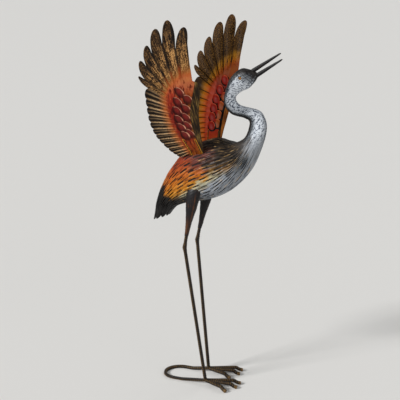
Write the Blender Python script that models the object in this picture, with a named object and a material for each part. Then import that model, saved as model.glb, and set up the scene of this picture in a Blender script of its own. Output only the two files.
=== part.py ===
# Metal crane garden statue: a welded sheet steel bird, wings raised, on legs and feet of ribbed bar.
#
# Frame while building: X points the way the crane faces, Y to its left, Z up, and the floor is Z = 0.
# The last step moves the origin to the floor below the middle of the statue's bounding box.

import math

import bmesh
import bpy
from mathutils import Matrix, Vector
from mathutils.geometry import delaunay_2d_cdt

MM = 0.001

# Overall sizes
FIGURE_HEIGHT = 1000 * MM  # floor to crown; the body, neck and thighs are shares of it
WING_LENGTH = 443 * MM  # shoulder line to the longest feather tip, along the bent plate
SHEET = 1.2 * MM  # steel sheet of the wings and the tail shell
WELD_GAP = 0.3 * MM  # between pieces that are welded or rest on each other

# Paint: colour, roughness, metallic
BODY_PAINT = ((0.42, 0.36, 0.32), 0.45, 0.3)
WING_PAINT = ((0.45, 0.20, 0.08), 0.40, 0.3)
BEAK_PAINT = ((0.03, 0.025, 0.025), 0.40, 0.2)
THIGH_PAINT = ((0.05, 0.045, 0.045), 0.40, 0.3)
BAR_PAINT = ((0.05, 0.035, 0.025), 0.45, 0.5)

# Ribbed bar: legs, toes and heel loop
BAR_RADIUS = 5.0 * MM
BAR_SIDES = 8
ANKLE_RADIUS = 6.1 * MM
SHANK_RADIUS = 4.4 * MM  # above the ankle

# Feet
HALF_STANCE = 47 * MM  # each foot's distance from the middle plane
RIGHT_FOOT_X = 39 * MM
LEFT_FOOT_X = 11 * MM
FOOT_TURN = 2.5  # degrees outwards, each foot
TOE_LIFT = 14 * MM  # height of the toes' middle line where they leave the leg
TOE_DROP_LENGTH = 21 * MM  # the bent-down end of a toe
TOES = (  # heading in degrees to the bird's left, and length; both feet are bent alike
    ("long_toe", 24, 112 * MM),
    ("middle_toe", 5.5, 105 * MM),
    ("short_toe", -21, 91 * MM),
)
FLOOR_FLAT = 0.45 * MM  # how much of a bar's underside is flattened where it stands
LOOP_BACK_X = -119 * MM  # rearmost point of the heel loop's middle line
LOOP_REST_X = -45 * MM  # behind this the loop lies on the floor

# Legs, as shares of the figure's height
ANKLE = (-0.031, 0.050, 0.447)
THIGH_RINGS = (  # middle line x, y, z, then half length along x and along y
    (0.006, 0.0500, 0.652, 0.0200, 0.0090),
    (0.003, 0.0550, 0.628, 0.0225, 0.0135),
    (-0.0015, 0.0570, 0.598, 0.0205, 0.0155),
    (-0.006, 0.0565, 0.570, 0.0165, 0.0140),
    (-0.0115, 0.0555, 0.544, 0.0120, 0.0115),
    (-0.0165, 0.0540, 0.520, 0.0088, 0.0088),
    (-0.0200, 0.0530, 0.502, 0.0073, 0.0073),
    (-0.0235, 0.0520, 0.486, 0.0063, 0.0063),
)
THIGH_SIDES = 14
SOCKET_DEPTH = 16 * MM  # how far the leg bar goes up into the thigh

# Body, tail to beak, as shares of the figure's height: each rib runs from a point on the back line
# to a point on the belly line, and bulges sideways by the half width.
BODY_RIBS = (
    (-0.156, 0.520, -0.104, 0.538, 0.024),
    (-0.139, 0.590, -0.074, 0.568, 0.044),
    (-0.100, 0.674, -0.020, 0.586, 0.061),
    (-0.038, 0.748, 0.040, 0.600, 0.071),
    (0.045, 0.787, 0.108, 0.635, 0.070),
    (0.095, 0.782, 0.166, 0.697, 0.055),
    (0.120, 0.780, 0.202, 0.772, 0.034),
    (0.150, 0.800, 0.215, 0.831, 0.025),
    (0.163, 0.842, 0.203, 0.868, 0.021),
    (0.147, 0.855, 0.184, 0.882, 0.019),
    (0.104, 0.866, 0.131, 0.893, 0.017),
    (0.081, 0.895, 0.115, 0.914, 0.018),
    (0.085, 0.938, 0.133, 0.934, 0.019),
    (0.103, 0.977, 0.154, 0.944, 0.021),
    (0.134, 1.002, 0.175, 0.963, 0.020),
    (0.164, 1.000, 0.186, 0.981, 0.010),
)
BODY_RINGS = 31  # drawn through the ribs
BODY_SIDES = 36
BODY_ROUNDNESS = 2.15  # exponent of the ribs' outline: 2 is an ellipse
FLUTE_DEPTH = 1.9 * MM  # half the height of the feather ridges pressed along the torso
FLUTE_FIRST, FLUTE_LAST = 1, 10  # the rings between which the ridges run
SEAM_RISE = 1.4 * MM  # the welded seam that runs round the body in its middle plane
EYE_PLACE = (0.137, 0.975)  # forward and up, shares of the figure's height
EYE_RADIUS = 3.6 * MM
PLUME_COUNT = 9  # ragged feather ends around the tail opening
PLUME_LENGTH = 9 * MM
TAIL_HOLLOW_RINGS = 4  # the tail is an open shell over its first rings

# Beak
BEAK_BASE_RADIUS = 6.4 * MM
BEAK_TIP_RADIUS = 1.5 * MM
BEAK_FLATNESS = 0.72  # half width over half height
BEAK_TAPER = ((0, 1.0), (0.3, 0.8), (0.65, 0.5), (0.93, 0.2), (1, 0.0))  # place along it, fullness
BEAK_SIDES = 12
UPPER_BEAK = ((0.1690, 0.9960), (0.2560, 1.0515))  # middle line in the middle plane, shares
LOWER_BEAK = ((0.1790, 0.9820), (0.2610, 1.0340))

# Wing, as shares of the wing's length on the flat plate: forward first, then up from the shoulder
PRIMARY_TIPS = (
    (0.112, 0.956),
    (0.023, 1.000),
    (-0.086, 0.938),
    (-0.165, 0.817),
    (-0.221, 0.708),
    (-0.240, 0.602),
)
FRONT_NOTCH = (0.131, 0.850)  # on the leading edge, where the first primary's tip starts
PRIMARY_NOTCHES = (
    (0.047, 0.808),
    (-0.038, 0.844),
    (-0.117, 0.779),
    (-0.169, 0.688),
    (-0.197, 0.596),
    (-0.183, 0.530),
)
PRIMARY_ROOTS = (
    (0.054, 0.612),
    (0.002, 0.572),
    (-0.027, 0.544),
    (-0.046, 0.517),
    (-0.062, 0.490),
    (-0.074, 0.462),
)
SECONDARIES = 12
SECONDARY_TIP_LINE = (
    (-0.217, 0.491),
    (-0.229, 0.366),
    (-0.234, 0.251),
    (-0.221, 0.149),
    (-0.192, 0.075),
    (-0.150, -0.004),
    (-0.112, -0.048),
)
SECONDARY_ROOT_LINE = (
    (-0.074, 0.462),
    (-0.081, 0.350),
    (-0.076, 0.262),
    (-0.062, 0.176),
    (-0.046, 0.100),
    (-0.024, 0.030),
    (-0.014, -0.006),
)
SECONDARY_NOTCH = 0.020  # depth of the scallops between the secondaries' tips
PRIMARY_TIP_SHAPE = 0.62  # exponent of the tip's arc: 1 is a half ellipse, less is blunter
SECONDARY_TIP_SHAPE = 0.8
FOLD_LINE = (  # where the leading edge is folded in, from the shoulder to the wrist
    (0.074, -0.008),
    (0.072, 0.061),
    (0.063, 0.131),
    (0.059, 0.201),
    (0.059, 0.262),
    (0.063, 0.330),
    (0.079, 0.402),
    (0.102, 0.472),
    (0.134, 0.566),
)
FLANGE_WIDTHS = (0.012, 0.022, 0.034, 0.045, 0.051, 0.054, 0.054, 0.049, 0.028)
LEADING_EDGE = 0.123  # front edge of the first primary, up to halfway to its tip
PLATE_MIDDLE = 0.045  # forward place from which the plate curls in and flares out
LEADING_CURL = 0.30  # inward slope of the plate towards its front edge, halfway up
FLANGE_FOLD = 14  # degrees, towards the other wing
SHOULDER_LEAN = 38  # degrees outwards from upright, at the shoulder
TIP_LEAN = 12  # degrees outwards from upright, at the tips
TRAILING_FLARE = 0.14  # outward slope of the plate behind the shoulder
SHOULDER_Y, SHOULDER_Z = 0.062, 0.752  # shares of the figure's height
FEATHER_CROWN = 0.0075  # height of a feather's ridge, share of the wing's length
SCALE_RISE = 0.0135  # height of the covert scales
SCALE_HALF = (0.037, 0.021)  # a scale's half length and half width
SCALE_TILT = 118  # degrees, a scale's long axis from forward
OUTER_SCALES = (
    (0.026, 0.512),
    (0.000, 0.436),
    (-0.018, 0.364),
    (-0.022, 0.294),
    (-0.019, 0.225),
    (-0.008, 0.156),
)
INNER_SCALES = (
    (0.070, 0.455),
    (0.046, 0.384),
    (0.031, 0.314),
    (0.027, 0.245),
    (0.030, 0.177),
)
TAB_WIDTH = 32 * MM  # the tongue that plugs the wing into the body
TAB_DEPTH = 26 * MM  # how far it reaches below the shoulder line
TAB_MIDDLE = 15 * MM  # forward of the shoulder point
SLIT_WIDTH = 3 * MM  # beside the tongue
SLIT_HEIGHT = 52 * MM
SLIT_LEAN = 0.22  # the slits run up and back
SLOT_PLAY = 0.6 * MM  # between the tongue and its slot in the body


def smooth(points, count):
    """count points evenly spread in parameter on a Catmull-Rom curve through the given points."""
    vectors = [Vector(p) for p in points]
    ends = [2 * vectors[0] - vectors[1], *vectors, 2 * vectors[-1] - vectors[-2]]
    spans = len(vectors) - 1
    made = []
    for i in range(count):
        place = spans * i / (count - 1)
        span = min(int(place), spans - 1)
        t = place - span
        a, b, c, d = ends[span : span + 4]
        made.append(
            0.5
            * (
                2 * b
                + (c - a) * t
                + (2 * a - 5 * b + 4 * c - d) * t**2
                + (3 * b - a - 3 * c + d) * t**3
            )
        )
    return made


def material(name, colour, roughness, metallic):
    made = bpy.data.materials.new(name)
    made.use_nodes = True
    shader = made.node_tree.nodes["Principled BSDF"]
    shader.inputs["Base Color"].default_value = (*colour, 1)
    shader.inputs["Roughness"].default_value = roughness
    shader.inputs["Metallic"].default_value = metallic
    return made


def place(name, mesh, paint, statue):
    """A mesh as a named object of the statue, shaded smooth apart from its sharp edges."""
    made = bpy.data.objects.new(name, mesh)
    bpy.context.scene.collection.objects.link(made)
    made.parent = statue
    mesh.materials.append(material(name + "_paint", *paint))
    mesh.shade_smooth()
    mesh.set_sharp_from_angle(angle=math.radians(35))
    return made


def finish_mesh(bm, name):
    """The bmesh as a mesh whose faces point outwards."""
    bmesh.ops.recalc_face_normals(bm, faces=bm.faces)
    mesh = bpy.data.meshes.new(name)
    bm.to_mesh(mesh)
    bm.free()
    return mesh


def mesh_of_rings(rings, name):
    """One closed skin over a row of rings with the same number of points, capped at both ends."""
    bm = bmesh.new()
    loops = [[bm.verts.new(p) for p in ring] for ring in rings]
    for lower, upper in zip(loops, loops[1:]):
        for i in range(len(lower)):
            j = (i + 1) % len(lower)
            bm.faces.new((lower[i], lower[j], upper[j], upper[i]))
    bm.faces.new(loops[0])
    bm.faces.new(reversed(loops[-1]))
    return finish_mesh(bm, name)


def bar_mesh(points, radii, name):
    """A round bar swept along points, from a curve with a bevel and filled caps."""
    curve = bpy.data.curves.new(name + "_path", "CURVE")
    curve.dimensions = "3D"
    curve.twist_mode = "MINIMUM"
    curve.bevel_depth = 1.0
    curve.bevel_resolution = BAR_SIDES // 2 - 2
    curve.use_fill_caps = True
    spline = curve.splines.new("POLY")
    spline.points.add(len(points) - 1)
    for point, place_at, radius in zip(spline.points, points, radii):
        point.co = (*place_at, 1)
        point.radius = radius
    holder = bpy.data.objects.new(name + "_path", curve)
    bpy.context.scene.collection.objects.link(holder)
    graph = bpy.context.evaluated_depsgraph_get()
    mesh = bpy.data.meshes.new_from_object(holder.evaluated_get(graph))
    bpy.data.objects.remove(holder)
    bm = bmesh.new()
    bm.from_mesh(mesh)
    bmesh.ops.remove_doubles(bm, verts=bm.verts, dist=0.01 * MM)
    return finish_mesh(bm, name)


def helper(name, mesh, statue):
    """A hidden object that is cut from another one or joined to it."""
    made = bpy.data.objects.new(name, mesh)
    bpy.context.scene.collection.objects.link(made)
    made.parent = statue
    made.hide_render = True
    made.display_type = "WIRE"
    return made


def combine(target, other, operation):
    modifier = target.modifiers.new(other.name, "BOOLEAN")
    modifier.operation = operation
    modifier.solver = "EXACT"
    modifier.object = other


def cut(target, cutter):
    combine(target, cutter, "DIFFERENCE")


def join(target, addition):
    combine(target, addition, "UNION")


def block(name, low, high, statue):
    """A box between two corners, used as a cutter."""
    bm = bmesh.new()
    bmesh.ops.create_cube(bm, size=1)
    size = Vector(high) - Vector(low)
    middle = (Vector(high) + Vector(low)) / 2
    bmesh.ops.transform(bm, matrix=Matrix.Translation(middle) @ Matrix.Diagonal((*size, 1)), verts=bm.verts)
    return helper(name, finish_mesh(bm, name), statue)


# Body


def rib_ring(rib, grow, fluted):
    """The outline of one rib, grown outwards by grow; fluted is how strongly its ridges show, 0 to 1."""
    back = Vector((rib[0], 0, rib[1])) * FIGURE_HEIGHT
    belly = Vector((rib[2], 0, rib[3])) * FIGURE_HEIGHT
    middle = (back + belly) / 2
    up = back - middle
    depth = up.length + grow
    up.normalize()
    width = rib[4] * FIGURE_HEIGHT + grow
    ring = []
    for i in range(BODY_SIDES):
        angle = 2 * math.pi * i / BODY_SIDES
        c, s = math.cos(angle), math.sin(angle)
        power = 2 / BODY_ROUNDNESS
        rise = math.copysign(abs(c) ** power, c) * depth
        side = math.copysign(abs(s) ** power, s) * width
        ridge = FLUTE_DEPTH * fluted * (1 if i % 2 == 0 else -1)
        if not grow and i % (BODY_SIDES // 2) == 0:
            ridge += SEAM_RISE
        scale = 1 + ridge / math.hypot(rise, side)
        ring.append(middle + (up * rise + Vector((0, side, 0))) * scale)
    return ring


def body_rings(grow=0.0):
    rings = []
    for i, rib in enumerate(smooth(BODY_RIBS, BODY_RINGS)):
        fluted = 1 if FLUTE_FIRST <= i <= FLUTE_LAST else 0
        rings.append(rib_ring(rib, grow, 0 if grow else fluted))
    return rings


def ragged(ring, towards):
    """The tail's last ring, with plume ends of different reach around its opening."""
    made = []
    for i, point in enumerate(ring):
        turn = PLUME_COUNT * math.pi * i / BODY_SIDES
        reach = PLUME_LENGTH * (abs(math.cos(turn)) - 0.35)
        made.append(point + towards * reach)
    return made


def tail_direction():
    """The unit vector in which the tail's end points."""
    first, second = (Vector((rib[0] + rib[2], 0, rib[1] + rib[3])) for rib in BODY_RIBS[:2])
    return (first - second).normalized()


def make_body(statue):
    """Torso, neck and head: two pressed halves welded into one shell, open at the tail."""
    outer = body_rings()
    hollow = smooth(BODY_RIBS, BODY_RINGS)[:TAIL_HOLLOW_RINGS]
    inner = [rib_ring(rib, -SHEET - FLUTE_DEPTH, 0) for rib in hollow]
    end = tail_direction()
    outer[0] = ragged(outer[0], end)
    inner[0] = ragged(inner[0], end)
    rings = [*reversed(inner), *outer]
    body = place("body_shell", mesh_of_rings(rings, "body_shell"), BODY_PAINT, statue)
    for word, side in (("right", -1), ("left", 1)):
        join(body, eye_boss(word + "_eye_boss", side, statue))
    return body


def eye_boss(name, side, statue):
    """A low round eye on one side of the head."""
    forward, up = EYE_PLACE
    ribs = smooth(BODY_RIBS, BODY_RINGS)
    rib = min(ribs, key=lambda r: math.dist(EYE_PLACE, ((r[0] + r[2]) / 2, (r[1] + r[3]) / 2)))
    out = rib[4] * FIGURE_HEIGHT - 0.2 * EYE_RADIUS
    bm = bmesh.new()
    bmesh.ops.create_uvsphere(bm, u_segments=12, v_segments=8, radius=EYE_RADIUS)
    bmesh.ops.scale(bm, vec=(1, 0.6, 1), verts=bm.verts)
    middle = Vector((forward * FIGURE_HEIGHT, side * out, up * FIGURE_HEIGHT))
    bmesh.ops.translate(bm, vec=middle, verts=bm.verts)
    return helper(name, finish_mesh(bm, name), statue)


def make_beak(name, base, tip, statue):
    """One of two tapered steel blades, held open, welded to the front of the head."""
    start = Vector((base[0], 0, base[1])) * FIGURE_HEIGHT
    end = Vector((tip[0], 0, tip[1])) * FIGURE_HEIGHT
    over = (end - start).normalized().cross(Vector((0, 1, 0)))
    rings = []
    for share, fullness in BEAK_TAPER:
        radius = BEAK_TIP_RADIUS + (BEAK_BASE_RADIUS - BEAK_TIP_RADIUS) * fullness
        middle = start.lerp(end, share)
        ring = []
        for i in range(BEAK_SIDES):
            angle = 2 * math.pi * i / BEAK_SIDES
            side = Vector((0, math.sin(angle) * radius * BEAK_FLATNESS, 0))
            ring.append(middle + over * math.cos(angle) * radius + side)
        rings.append(ring)
    return place(name, mesh_of_rings(rings, name), BEAK_PAINT, statue)


# Legs and feet


def make_thigh(name, side, statue):
    """A tapered leaf of rolled sheet between the belly and the leg bar."""
    rings = []
    for x, y, z, half_x, half_y in THIGH_RINGS:
        middle = Vector((x, y * side, z)) * FIGURE_HEIGHT
        ring = []
        for i in range(THIGH_SIDES):
            angle = 2 * math.pi * i / THIGH_SIDES
            offset = Vector((math.cos(angle) * half_x, math.sin(angle) * half_y, 0))
            ring.append(middle + offset * FIGURE_HEIGHT)
        rings.append(ring)
    return place(name, mesh_of_rings(rings, name), THIGH_PAINT, statue)


def leg_line(side, foot_x):
    """The leg bar's middle line: from the foot up to the ankle, then up into the thigh."""
    foot = Vector((foot_x, side * HALF_STANCE, TOE_LIFT - BAR_RADIUS / 2))
    ankle = Vector((ANKLE[0], ANKLE[1] * side, ANKLE[2])) * FIGURE_HEIGHT
    low = Vector(THIGH_RINGS[-1][:3]) * FIGURE_HEIGHT
    low.y *= side
    high = Vector(THIGH_RINGS[-2][:3]) * FIGURE_HEIGHT
    high.y *= side
    top = low + (high - low).normalized() * SOCKET_DEPTH
    bend = 2.4 * ANKLE_RADIUS
    below = ankle + (foot - ankle).normalized() * bend
    above = ankle + (low - ankle).normalized() * bend
    return [foot, below, ankle, above, low, top]


def make_leg(name, side, foot_x, statue):
    points = leg_line(side, foot_x)
    radii = [BAR_RADIUS, BAR_RADIUS, ANKLE_RADIUS, SHANK_RADIUS, SHANK_RADIUS, SHANK_RADIUS]
    return place(name, bar_mesh(points, radii, name), BAR_PAINT, statue)


def toe_line(side, foot_x, heading, length, lift=0.0):
    """A toe's middle line: level from the leg, then bent down to the floor."""
    foot = Vector((foot_x, side * HALF_STANCE, TOE_LIFT + lift))
    turn = math.radians(heading)
    along = Vector((math.cos(turn), math.sin(turn), 0))
    rest = BAR_RADIUS - FLOOR_FLAT
    knuckle = foot + along * (length - TOE_DROP_LENGTH)
    middle = foot + along * (length - TOE_DROP_LENGTH * 0.55)
    middle.z = (TOE_LIFT + 2 * rest) / 3 + lift / 2
    tip = foot + along * length
    tip.z = rest
    return [foot + along * BAR_RADIUS, knuckle, middle, tip]


def loop_line():
    """The heel loop's middle line: back from the right leg, round, and forward to the left leg."""
    radius = HALF_STANCE
    centre_x = LOOP_BACK_X + radius
    rest = BAR_RADIUS - FLOOR_FLAT
    points = [(RIGHT_FOOT_X, -HALF_STANCE, TOE_LIFT), (LOOP_REST_X, -HALF_STANCE, rest)]
    steps = 14
    for i in range(steps + 1):
        angle = -math.pi / 2 - math.pi * i / steps
        points.append((centre_x + radius * math.cos(angle), radius * math.sin(angle), rest))
    points.append((LOOP_REST_X, HALF_STANCE, rest))
    points.append((LEFT_FOOT_X, HALF_STANCE, TOE_LIFT))
    return [Vector(p) for p in points]


def fat_copy(name, points, radii, statue):
    """A hidden bar, thicker and longer by two weld gaps, which cuts room for the real one."""
    points = list(points)
    points[-1] = points[-1] + (points[-1] - points[-2]).normalized() * 2 * WELD_GAP
    return helper(name, bar_mesh(points, [r + 2 * WELD_GAP for r in radii], name), statue)


def make_feet(statue):
    """Three toes to a foot, fanned out from the leg, and the loop that joins both heels."""
    line = loop_line()
    loop = place("heel_loop", bar_mesh(line, [BAR_RADIUS] * len(line), "heel_loop"), BAR_PAINT, statue)
    floor = block("floor_cutter", (-1, -1, -0.1), (1, 1, 0), statue)
    cut(loop, floor)
    for word, side, foot_x in (("right", -1, RIGHT_FOOT_X), ("left", 1, LEFT_FOOT_X)):
        leg = leg_line(side, foot_x)
        below = leg[0] - (leg[1] - leg[0]).normalized() * 4 * BAR_RADIUS
        leg_room = fat_copy(word + "_leg_room", [below, leg[1]], [BAR_RADIUS, BAR_RADIUS], statue)
        cut(loop, leg_room)
        wide = BAR_RADIUS + WELD_GAP
        middle_room = block(word + "_toe_room", (0, -wide, -0.05), (TOES[1][2], wide, 0.05), statue)
        middle_room.location = (foot_x, side * HALF_STANCE, 0)
        middle_room.rotation_euler.z = math.radians(side * FOOT_TURN + TOES[1][1])
        for toe, heading, length in TOES:
            name = word + "_" + toe
            line = toe_line(side, foot_x, side * FOOT_TURN + heading, length)
            made = place(name, bar_mesh(line, [BAR_RADIUS] * len(line), name), BAR_PAINT, statue)
            cut(made, floor)
            cut(made, leg_room)
            if toe != TOES[1][0]:
                cut(made, middle_room)


# Wings


def wing_lean(up):
    """The plate's outward lean in radians at a share of the wing's length."""
    return math.radians(SHOULDER_LEAN + (TIP_LEAN - SHOULDER_LEAN) * up)


def fold_place(up):
    """Forward place of the fold line at a height on the plate."""
    rows = FOLD_LINE
    for (x0, z0), (x1, z1) in zip(rows, rows[1:]):
        if up <= z1 or (x1, z1) == rows[-1]:
            return x0 + (x1 - x0) * (up - z0) / (z1 - z0)
    return rows[-1][0]


def wing_point(forward, up, lift, side):
    """A point of the flat plate, in shares of its length, carried onto the bent wing in metres."""
    wrist = FOLD_LINE[-1][1]
    beyond = forward - fold_place(up) if up < wrist else 0
    inward = lift + LEADING_CURL * max(0, forward - PLATE_MIDDLE) * math.sin(math.pi * max(0, min(1, up)))
    if beyond > 0:
        fold = math.radians(FLANGE_FOLD)
        forward = fold_place(up) + beyond * math.cos(fold)
        inward += beyond * math.sin(fold)
    first, change = wing_lean(0), wing_lean(1) - wing_lean(0)
    lean = wing_lean(up)
    out = (math.cos(first) - math.cos(lean)) / change
    rise = (math.sin(lean) - math.sin(first)) / change
    flare = TRAILING_FLARE * max(0, PLATE_MIDDLE - forward) * max(0, min(1, 1 - up))
    out += flare - inward * math.cos(lean)
    rise += inward * math.sin(lean)
    x = forward * WING_LENGTH
    y = SHOULDER_Y * FIGURE_HEIGHT + out * WING_LENGTH
    z = SHOULDER_Z * FIGURE_HEIGHT + rise * WING_LENGTH
    return Vector((x, side * y, z))


def feather_lines():
    """Per feather boundary: root, notch. Per feather: tip."""
    tips = [Vector(p) for p in PRIMARY_TIPS] + smooth(SECONDARY_TIP_LINE, SECONDARIES)
    roots = [Vector((fold_place(1.1 * PRIMARY_ROOTS[0][1]), PRIMARY_ROOTS[0][1] + 0.02))]
    roots += [Vector(p) for p in PRIMARY_ROOTS[:-1]] + smooth(SECONDARY_ROOT_LINE, SECONDARIES + 1)
    notches = [Vector(FRONT_NOTCH)] + [Vector(p) for p in PRIMARY_NOTCHES]
    secondary_tips = tips[len(PRIMARY_TIPS) :]
    for i, (one, other) in enumerate(zip(secondary_tips, secondary_tips[1:])):
        root = roots[len(PRIMARY_TIPS) + 1 + i]
        inward = (root - (one + other) / 2).normalized()
        notches.append((one + other) / 2 + inward * SECONDARY_NOTCH)
    last = secondary_tips[-1]
    notches.append(last + (roots[-1] - last) * 0.12 + Vector((0.012, -0.012)))
    return roots, notches, tips


def tip_arc(left, tip, right, shape, count):
    """The rounded end of a feather, from one notch over the tip to the next."""
    made = []
    axis = tip - (left + right) / 2
    for i in range(1, count):
        angle = math.pi * i / count
        base = left.lerp(right, 0.5 - 0.5 * math.cos(angle))
        made.append(base + axis * math.sin(angle) ** shape)
    return made


def wing_outline():
    """The plate's outline and the feather tips on it, anticlockwise from the foot of the flange."""
    roots, notches, tips = feather_lines()
    unit = 1 / WING_LENGTH
    half = TAB_WIDTH / 2 * unit
    middle = TAB_MIDDLE * unit
    slit = SLIT_WIDTH * unit
    top = SLIT_HEIGHT * unit
    drop = -TAB_DEPTH * unit
    outline = []
    for (x, z), width in zip(FOLD_LINE, FLANGE_WIDTHS):
        outline.append(Vector((x + width, z)))
    outline.append(Vector((LEADING_EDGE, FOLD_LINE[-1][1] + 0.022)))
    outline.append(Vector((LEADING_EDGE, (notches[0].y + FOLD_LINE[-1][1]) / 2)))
    outline.append(notches[0])
    for i, tip in enumerate(tips):
        primary = i < len(PRIMARY_TIPS)
        shape = PRIMARY_TIP_SHAPE if primary else SECONDARY_TIP_SHAPE
        outline += tip_arc(notches[i], tip, notches[i + 1], shape, 8 if primary else 4)
        outline.append(notches[i + 1])
    back, front = middle - half, middle + half
    rear_lean = SLIT_LEAN * top
    front_lean = 0.6 * rear_lean
    outline += [  # round the rear slit, the tongue and the front slit
        Vector((back - slit, -0.030)),
        Vector((back - slit - rear_lean, top)),
        Vector((back - rear_lean, top)),
        Vector((back, 0)),
        Vector((back, drop)),
        Vector((front, drop)),
        Vector((front, 0)),
        Vector((front - front_lean, top)),
        Vector((front - front_lean + slit, top)),
        Vector((front + 0.7 * slit, -0.009)),
    ]
    return outline


def add_line(points, pins, edges):
    first = len(pins)
    pins += points
    edges += [(first + i, first + i + 1) for i in range(len(points) - 1)]


def scale_points(middle):
    """A covert scale on the plate: its rim, and its crest line."""
    tilt = math.radians(SCALE_TILT)
    along = Vector((math.cos(tilt), math.sin(tilt))) * SCALE_HALF[0]
    across = Vector((-math.sin(tilt), math.cos(tilt))) * SCALE_HALF[1]
    centre = Vector(middle)
    rim = []
    for i in range(8):
        angle = 2 * math.pi * i / 8
        rim.append(centre + along * math.cos(angle) + across * math.sin(angle))
    crest = [centre - along * 0.45, centre + along * 0.4]
    return rim, crest


def make_wing(name, side, statue):
    """A pressed sheet wing: feathers that fan from the wrist and arm, two rows of scales, a folded
    leading edge and a tongue that plugs into the body."""
    roots, notches, tips = feather_lines()
    outline = wing_outline()
    pins = list(outline)
    lifts = {}
    edges = []
    for i in range(1, len(roots) - 1):  # grooves between feathers
        steps = 5 if i <= len(PRIMARY_TIPS) else 2
        line = [roots[i].lerp(notches[i], j / steps) for j in range(steps)]
        add_line(line, pins, edges)
        edges.append((len(pins) - 1, outline.index(notches[i])))
    for i, tip in enumerate(tips):  # ridges along the feathers
        steps = 6 if i < len(PRIMARY_TIPS) else 3
        start = (roots[i] + roots[i + 1]) / 2
        line = [start.lerp(tip, 0.1 + 0.8 * j / steps) for j in range(steps + 1)]
        for j in range(steps + 1):
            lifts[len(pins) + j] = FEATHER_CROWN * (0.55 if j in (0, steps) else 1)
        add_line(line, pins, edges)
    fold = [Vector(p) for p in FOLD_LINE]
    fold[0] = fold[0].lerp(fold[1], 0.15)
    add_line(fold[:-1], pins, edges)
    for middle in OUTER_SCALES + INNER_SCALES:
        rim, crest = scale_points(middle)
        first = len(pins)
        pins += rim
        edges += [(first + i, first + (i + 1) % len(rim)) for i in range(len(rim))]
        lifts[len(pins)] = SCALE_RISE * 0.8
        lifts[len(pins) + 1] = SCALE_RISE
        add_line(crest, pins, edges)
    flat, _, faces, origins, _, _ = delaunay_2d_cdt(pins, edges, [list(range(len(outline)))], 1, 1e-6)
    bm = bmesh.new()
    made = []
    for point, sources in zip(flat, origins):
        lift = max([lifts.get(s, 0) for s in sources], default=0)
        made.append(bm.verts.new(wing_point(point.x, point.y, lift, side)))
    for face in faces:
        bm.faces.new([made[i] for i in face])
    bmesh.ops.recalc_face_normals(bm, faces=bm.faces)
    mesh = bpy.data.meshes.new(name)
    bm.to_mesh(mesh)
    bm.free()
    wing = place(name, mesh, WING_PAINT, statue)
    sheet = wing.modifiers.new("sheet", "SOLIDIFY")
    sheet.thickness = SHEET
    sheet.offset = 0
    return wing


def slot_cutter(name, side, statue):
    """The room in the body for a wing's tongue."""
    unit = 1 / WING_LENGTH
    half = (TAB_WIDTH / 2 + SLOT_PLAY) * unit
    middle = TAB_MIDDLE * unit
    low = -(TAB_DEPTH + SLOT_PLAY) * unit
    thick = (SHEET / 2 + SLOT_PLAY) * unit
    corners = ((-half, -thick), (half, -thick), (half, thick), (-half, thick))
    rings = []
    for up in (low, 0.02):
        rings.append([wing_point(middle + forward, up, lift, side) for forward, lift in corners])
    return helper(name, mesh_of_rings(rings, name), statue)


def centre_on_floor(statue):
    """Moves the statue so that the origin lies on the floor below the middle of its bounding box."""
    bpy.context.view_layer.update()
    graph = bpy.context.evaluated_depsgraph_get()
    corners = []
    for piece in statue.children:
        if piece.hide_render:
            continue
        evaluated = piece.evaluated_get(graph)
        corners += [evaluated.matrix_world @ vertex.co for vertex in evaluated.data.vertices]
    low = [min(c[i] for c in corners) for i in range(3)]
    high = [max(c[i] for c in corners) for i in range(3)]
    statue.location = (-(low[0] + high[0]) / 2, -(low[1] + high[1]) / 2, -low[2])
    bpy.context.view_layer.update()


def main():
    for obj in list(bpy.data.objects):
        bpy.data.objects.remove(obj)
    statue = bpy.data.objects.new("statue", None)
    bpy.context.scene.collection.objects.link(statue)
    body = make_body(statue)
    room = helper("body_room", mesh_of_rings(body_rings(FLUTE_DEPTH + 2 * WELD_GAP), "body_room"), statue)
    cut(make_beak("upper_beak", *UPPER_BEAK, statue), room)
    cut(make_beak("lower_beak", *LOWER_BEAK, statue), room)
    for word, side, foot_x in (("right", -1, RIGHT_FOOT_X), ("left", 1, LEFT_FOOT_X)):
        make_wing(word + "_wing", side, statue)
        cut(body, slot_cutter(word + "_slot", side, statue))
        thigh = make_thigh(word + "_thigh", side, statue)
        cut(thigh, room)
        socket = fat_copy(word + "_socket", leg_line(side, foot_x)[3:], [SHANK_RADIUS] * 3, statue)
        cut(thigh, socket)
        make_leg(word + "_leg", side, foot_x, statue)
    make_feet(statue)
    centre_on_floor(statue)


main()
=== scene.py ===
# Painted metal crane for the garden: the looks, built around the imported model.
# Everything is in metres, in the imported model's frame: X the way the crane faces, Y to its left, Z up.
import math
from functools import partial

import bmesh
import bpy
import numpy as np
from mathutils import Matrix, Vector, noise
from mathutils.geometry import delaunay_2d_cdt
from mathutils.kdtree import KDTree


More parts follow.
